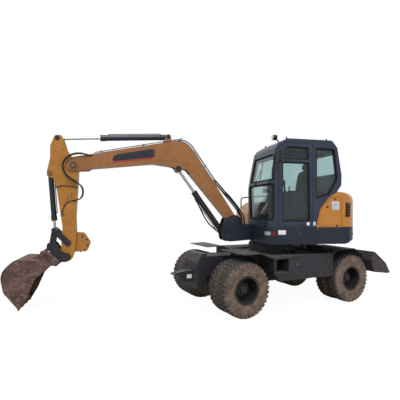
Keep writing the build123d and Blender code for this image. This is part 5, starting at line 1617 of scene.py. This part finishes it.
@dataclass
class Equipment(Assembly):
    """Hoses, pins, plates and welds on boom, arm and bucket."""

    # The boom's middle line, and half the width of the boom and of the arm
    boom_y: float = -100.0
    boom_half: float = 100.0
    arm_half: float = 72.0

    def build(self) -> None:
        """Make every piece of the front equipment."""
        self._boom_panel()
        self._pins()
        self._boom_hoses()
        self._cylinder_fittings()
        self._arm_hoses()
        self._arm_plates()
        self._welds()
        self._bucket()

    def _boom_panel(self) -> None:
        """The blank dark panel with its red and magenta edges, on both sides of the boom."""
        for side, hand in SIDES:
            y = self.boom_y + side * self.boom_half
            low, high = sorted((y, y + side * 1.5))
            dark = [
                (2992, 2478, 30), (2968, 2570, 50), (2900, 2606, 50), (2262, 2736, 40),
                (2256, 2580, 40),
            ]
            red = [
                (2990, 2452, 0), (2993, 2474, 0), (2300, 2566, 0), (2270, 2560, 0),
                (2290, 2546, 0),
            ]
            tip = [(2230, 2588, 0), (2251, 2584, 0), (2256, 2728, 0), (2240, 2734, 0)]
            for name, look, corners in (
                ("blank_boom_panel", Look.DARK_FOIL, dark),
                ("boom_panel_edge", Look.RED_FOIL, red),
                ("boom_panel_tip", Look.MAGENTA_FOIL, tip),
            ):
                self.plate(f"{name}_{hand}", "boom_body", look, corners, low, high)

    def _pins(self) -> None:
        """Collars and bolts at the ends of the pins."""
        # x, z, half width at the pin's end, collar radius, body
        table = (
            (760, 1445, 136, 66, "upper"),
            (880, 1125, 136, 52, "upper"),
            (1815, 2385, 100, 58, "boom_body"),
            (3635, 2387, 114, 56, "boom_body"),
            (2004, 2967, 76, 38, "boom_body"),
            (3705, 1060, 103, 40, "arm_body"),
            (4014, 2238, 72, 38, "arm_body"),
            (3905, 2848, 72, 42, "arm_body"),
            (3925, 1275, 98, 38, "rocker_body"),
            (3727, 825, 108, 46, "tool"),
        )
        for index, (x, z, half, radius, body) in enumerate(table):
            profile = [
                (-4, radius), (6, radius), (9, radius - 4), (9, radius * 0.62), (5, radius * 0.58),
                (5, 9), (12, 7), (13, 0),
            ]
            collars = self.new()
            for side, hand in SIDES:
                collars.lathe(profile, (x, self.boom_y + side * half, z), (0, side, 0), 32)
                ring = circle(x, self.boom_y + side * (half + 11), z, radius * 0.8, 4, 0.4)
                self.bolts(f"pin_bolts_{index}_{hand}", body, ring, (0, side, 0), 6, 6, Look.ZINC)
            self.piece(f"pin_collars_{index}", collars, body, Look.LINK_PAINT)

    def _boom_hoses(self) -> None:
        """Hoses that cross the boom foot, running from deck to boom, and the pipes' couplings."""
        routes = []
        for y, bow in ((-90, 0), (-62, 14), (62, 14), (90, 0)):
            line = self.boom_y + y
            low = [(540, 1382), (541, 1425), (552, 1500), (584 - bow, 1562)]
            bend = [(x - bow, z + bow) for x, z in ((662, 1672), (755, 1784), (858, 1904))]
            top = [(960, 2020), (1055, 2124), (1128, 2202)]
            routes.append([(x, line, z) for x, z in (*low, *bend, *top)])
        bundle = self.tubes("foot_hoses", None, routes, 12, Look.HOSE_RUBBER)
        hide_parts("hoses_house_boom")
        tuple(Site.HOUSE.place((552, self.boom_y, 1430)))
        tuple(Site.HOUSE.place((1085, self.boom_y, 2160)))
        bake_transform(bundle)
        lines = [self.boom_y + y for y in (-90, -62, 62, 90)]
        nut = [(0, 16), (26, 16), (30, 13), (48, 13)]
        places = [(1112, line, 2179) for line in lines]
        way = (0.58, 0, 0.81)
        self.turned("pipe_couplings", "boom_body", Look.ZINC, nut, places, way, 6, 20)
        port = [(-2, 18), (12, 18), (14, 15), (40, 15)]
        places = [(540, line, 1380) for line in lines]
        self.turned("deck_couplings", "upper", Look.ZINC, port, places, (0, 0, 1), 6, 20)

    def _cylinder_fittings(self) -> None:
        """Rings and pipes of the cylinders, and the hose that bulges before the boom cylinder."""
        # name, foot x z, rod pin x z, barrel end along it, barrel radius, finish
        table = (
            ("boom", (880, 1125), (1815, 2385), 1060.0, 52.0, Look.BARREL_BLACK),
            ("arm", (2004, 2967), (3905, 2848), 1200.0, 50.0, Look.BARREL_NAVY),
            ("bucket", (4014, 2238), (3925, 1275), 815.0, 44.0, Look.BARREL_BLACK),
        )
        for name, foot, pin, gland, radius, look in table:
            body = f"{name}_cylinder"
            along = Vector((pin[0] - foot[0], 0, pin[1] - foot[1])).normalized()
            start = Vector((foot[0], self.boom_y, foot[1]))
            ring = self.new()
            bands = ((120.0, 3.0, 22.0), (gland - 90, 5.0, 26.0), (gland - 46, 3.0, 14.0))
            for at, grow, width in bands:
                inner, outer = radius - 2, radius + grow
                profile = [(0, inner), (0, outer), (width, outer), (width, inner)]
                ring.lathe(profile, tuple(start + along * at), tuple(along), 40, closed=True)
            self.piece(f"{name}_barrel_rings", ring, body, look)
            lift = Vector((0, 1, 0)).cross(along) * (radius + 14)
            if (lift.z > 0) == (name == "boom"):
                lift.negate()
            far = gland - 170
            run = ((130, 0.6), (134, 1), (170, 1), (far, 1), (far + 36, 1), (far + 40, 0.6))
            pipe = [tuple(start + along * at + lift * share) for at, share in run]
            self.tubes(f"{name}_port_pipe", body, [pipe], 8, look)
            if name == "boom":
                out = lift.normalized()
                # Way along the cylinder, way out from its barrel, way to the left
                bow = (
                    (170, 10, 36), (260, 34, 44), (400, 74, 46), (600, 62, 44), (800, 22, 40),
                    (960, 4, 30),
                )
                bulge = [
                    tuple(start + along * at + out * (radius + off) + Vector((0, left, 0)))
                    for at, off, left in bow
                ]
                self.tubes("boom_cylinder_hose", body, [bulge], 13, Look.HOSE_RUBBER)

    def _arm_hoses(self) -> None:
        """Hose loops round the arm's pivot, running from boom to arm, and the arm's own hoses."""
        routes = []
        for y, reach in ((132, 0), (154, 26)):
            loop = [
                (3330, 111, 2560), (3390, 118, 2574), (3540, y, 2592 + reach * 0.4),
                (3700, y, 2550 + reach * 0.4), (3805 + reach * 0.2, y, 2420),
                (3790 + reach * 0.2, y, 2280), (3700, y, 2180 - reach), (3580, y, 2110 - reach),
                (3500 - reach * 0.5, y, 2040), (3462 - reach * 0.5, y, 1950),
                (3480 - reach * 0.5, y, 1840), (3550, 96, 1790), (3640, 83, 1780),
            ]
            routes.append([(x, self.boom_y + out, z) for x, out, z in loop])
        bundle = self.tubes("pivot_hoses", None, routes, 11, Look.HOSE_RUBBER)
        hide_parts("hoses_boom_arm")
        tuple(Site.HOUSE.place((3540, self.boom_y, 2590)))
        tuple(Site.HOUSE.place((3560, self.boom_y, 1830)))
        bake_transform(bundle)
        side = self.boom_y + self.arm_half
        lines = (
            ((3640, 1780), (3700, 1768), (3752, 1730), (3790, 1640), (3806, 1560)),
            ((3560, 2010), (3680, 2030), (3800, 2040), (3900, 2010), (3960, 1990)),
        )
        routes = []
        for line, gaps in zip(lines, ((11, 12, 12, 12, 12), (11, 12, 12, 12, 8))):
            routes.append([(x, side + gap, z) for (x, z), gap in zip(line, gaps)])
        self.tubes("arm_face_hoses", "arm_body", routes, 9, Look.HOSE_MUDDY)
        nuts = self.new()
        nuts.rod((3804, side + 12, 1575), (3812, side + 12, 1520), 14, 6)
        nuts.rod((3770, side - 1, 1540), (3830, side + 24, 1540), 10, 8)
        self.piece("arm_couplings", nuts, "arm_body", Look.ZINC, 20)

    def _arm_plates(self) -> None:
        """Bolted bracket on the arm's side and the bolts of its rear lobe."""
        side = self.boom_y + self.arm_half
        corners = [(3628, 1788, 12), (3744, 1796, 12), (3744, 1924, 12), (3622, 1926, 12)]
        low, high = side - 1, side + 8
        self.plate("arm_bracket", "arm_body", Look.ARM_ENAMEL, corners, low, high, bevel=1.5)
        holes = [(x, side + 9, z) for x in (3655, 3715) for z in (1824, 1860, 1896)]
        self.bolts("arm_bracket_bolts", "arm_body", holes, (0, 1, 0), 9, 6, Look.BLACK_BOLT)
        lobe = [(3470, 1165), (3400, 1110), (3385, 1010), (3430, 925), (3500, 905)]
        for sign, hand in SIDES:
            points = [(x, self.boom_y + sign * 33, z) for x, z in lobe]
            self.bolts(
                f"lobe_bolts_{hand}", "arm_body", points, (0, sign, 0), 15, 10, Look.BLACK_BOLT
            )

    def _welds(self) -> None:
        """Weld beads where the boom's and the arm's plates meet."""
        arc = [
            (2262, 2506), (2120, 2524), (1974, 2530), (1850, 2522), (1735, 2480), (1600, 2400),
            (1415, 2256),
        ]
        seam = [(4006, 2716), (3940, 2719), (3870, 2715), (3800, 2660), (3732, 2585)]
        for name, line, half, look in (
            ("boom", arc, self.boom_half, Look.BOOM_ENAMEL),
            ("arm", seam, self.arm_half, Look.ARM_ENAMEL),
        ):
            routes = [[(x, self.boom_y + side * half, z) for x, z in line] for side, _ in SIDES]
            self.tubes(f"{name}_welds", f"{name}_body", routes, 4, look, sides=8)

    def _bucket(self) -> None:
        """Knobs at the ends of the pin through the bucket's ears."""
        knobs = self.new()
        profile = [(-4, 30), (8, 30), (12, 22), (26, 22), (30, 16), (31, 0)]
        for side, _ in SIDES:
            knobs.lathe(profile, (4000, self.boom_y + side * 116, 900), (0, side, 0), 24)
        self.piece("ear_pin_knobs", knobs, "tool", Look.ZINC)


@dataclass
class Studio:
    """Camera, lamps, floor and backdrop."""

    lens: float = 31.5
    eye: Point = (3.117, 5.611, 1.697)
    yaw: float = -117.292
    pitch: float = 1.132
    roll: float = 0.661
    # The sky's strength as light; where it is seen, it is one
    sky: float = 0.62
    # The lamp's strength, then its width, its tilt and its turn in degrees
    lamp: float = 1.7
    lamp_width: float = 30.0
    lamp_tilt: float = 42.0
    lamp_turn: float = 150.0
    # Half the floor's width in metres, its glow, and the share of the glow where it is seen
    floor_reach: float = 60.0
    floor_glow: float = 1.09
    floor_share: float = 0.88

    def build(self) -> None:
        """Make the camera, the light and the floor."""
        bpy.context.scene.view_settings.view_transform = "Standard"
        self._camera()
        self._light()
        self._floor()

    def _camera(self) -> None:
        """The photograph's viewpoint."""
        camera = bpy.data.cameras.new("camera")
        camera.lens = self.lens
        camera.sensor_width = 36.0
        camera.clip_end = 200.0
        holder = bpy.data.objects.new("camera", camera)
        bpy.context.scene.collection.objects.link(holder)
        yaw, pitch, roll = (math.radians(v) for v in (self.yaw, self.pitch, self.roll))
        level = math.cos(pitch)
        ahead = Vector((level * math.cos(yaw), level * math.sin(yaw), math.sin(pitch)))
        right = Vector((math.sin(yaw), -math.cos(yaw), 0))
        up = right.cross(ahead)
        side = math.cos(roll) * right + math.sin(roll) * up
        top = -math.sin(roll) * right + math.cos(roll) * up
        turn = Matrix((side, top, -ahead)).transposed().to_4x4()
        holder.matrix_world = Matrix.Translation(self.eye) @ turn
        bpy.context.scene.camera = holder

    def _light(self) -> None:
        """A plain bright sky, white where it is seen, and one broad soft lamp."""
        world = bpy.data.worlds.new("sky")
        bpy.context.scene.world = world
        world.use_nodes = True
        tree = world.node_tree
        tree.nodes.clear()
        dim = {"Value": seen(tree), "To Min": self.sky, "To Max": 1.0}
        strength = add(tree, "ShaderNodeMapRange", dim).outputs["Result"]
        sky = add(tree, "ShaderNodeBackground", {"Color": linear("ffffff"), "Strength": strength})
        add(tree, "ShaderNodeOutputWorld", {"Surface": sky.outputs["Background"]})
        sun = bpy.data.lights.new("soft_lamp", "SUN")
        sun.energy = self.lamp
        sun.angle = math.radians(self.lamp_width)
        holder = bpy.data.objects.new("soft_lamp", sun)
        holder.rotation_euler = (math.radians(self.lamp_tilt), 0, math.radians(self.lamp_turn))
        bpy.context.scene.collection.objects.link(holder)

    def _floor(self) -> None:
        """A wide pale floor that keeps a trace of the machine's shadow where it is seen."""
        mesh = bpy.data.meshes.new("floor")
        reach = self.floor_reach
        around = [(x * reach, y * reach, 0) for x, y in ((-1, -1), (1, -1), (1, 1), (-1, 1))]
        mesh.from_pydata(around, [], [(0, 1, 2, 3)])
        material = bpy.data.materials.new("pale_floor")
        material.use_nodes = True
        tree = material.node_tree
        tree.nodes.clear()
        place = add(tree, "ShaderNodeTexCoord").outputs["Object"]
        colour = blend_colour(tree, noise(tree, place, 2.0), linear("b4b2ae"), linear("bcbab6"))
        matt = add(tree, "ShaderNodeBsdfPrincipled", {"Base Color": colour, "Roughness": 0.9})
        glow = {"Color": linear("ffffff"), "Strength": self.floor_glow}
        white = add(tree, "ShaderNodeEmission", glow)
        share = calculate(tree, "MULTIPLY", seen(tree), self.floor_share)
        layers = {0: share, 1: matt.outputs["BSDF"], 2: white.outputs["Emission"]}
        mixed = add(tree, "ShaderNodeMixShader", layers)
        add(tree, "ShaderNodeOutputMaterial", {"Surface": mixed.outputs["Shader"]})
        mesh.materials.append(material)
        floor = bpy.data.objects.new("floor", mesh)
        bpy.context.scene.collection.objects.link(floor)
        floor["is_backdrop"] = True


def dress_nodes(nodes: dict[str, Object]) -> None:
    """Give every CAD node its finish.

    Args:
        nodes: The frame's objects by node name.
    """
    for look, names in NODE_LOOKS.items():
        for name in names:
            mesh = nodes[name].data
            mesh.materials.clear()
            mesh.materials.append(look.material())


def corners(box: Any) -> list[list[float]]:
    """A box's two corners as plain numbers."""
    return [[float(v) for v in corner] for corner in box]


def main() -> None:
    """Build the scene in order."""
    logging.basicConfig(level=logging.INFO, format="%(name)s %(message)s")
    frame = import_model()
    cad_box = corners(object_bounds())
    Studio().build()
    dress_nodes(frame["nodes"])
    recipes = Recipes()
    for part in (Wheels, Undercarriage, UpperStructure, Cab, Equipment):
        LOG.info("building %s", part.__name__)
        part(recipes).build()
    bpy.context.view_layer.update()
    {"cad": cad_box, "visual": corners(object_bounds())}


if __name__ == "__main__":
    main()
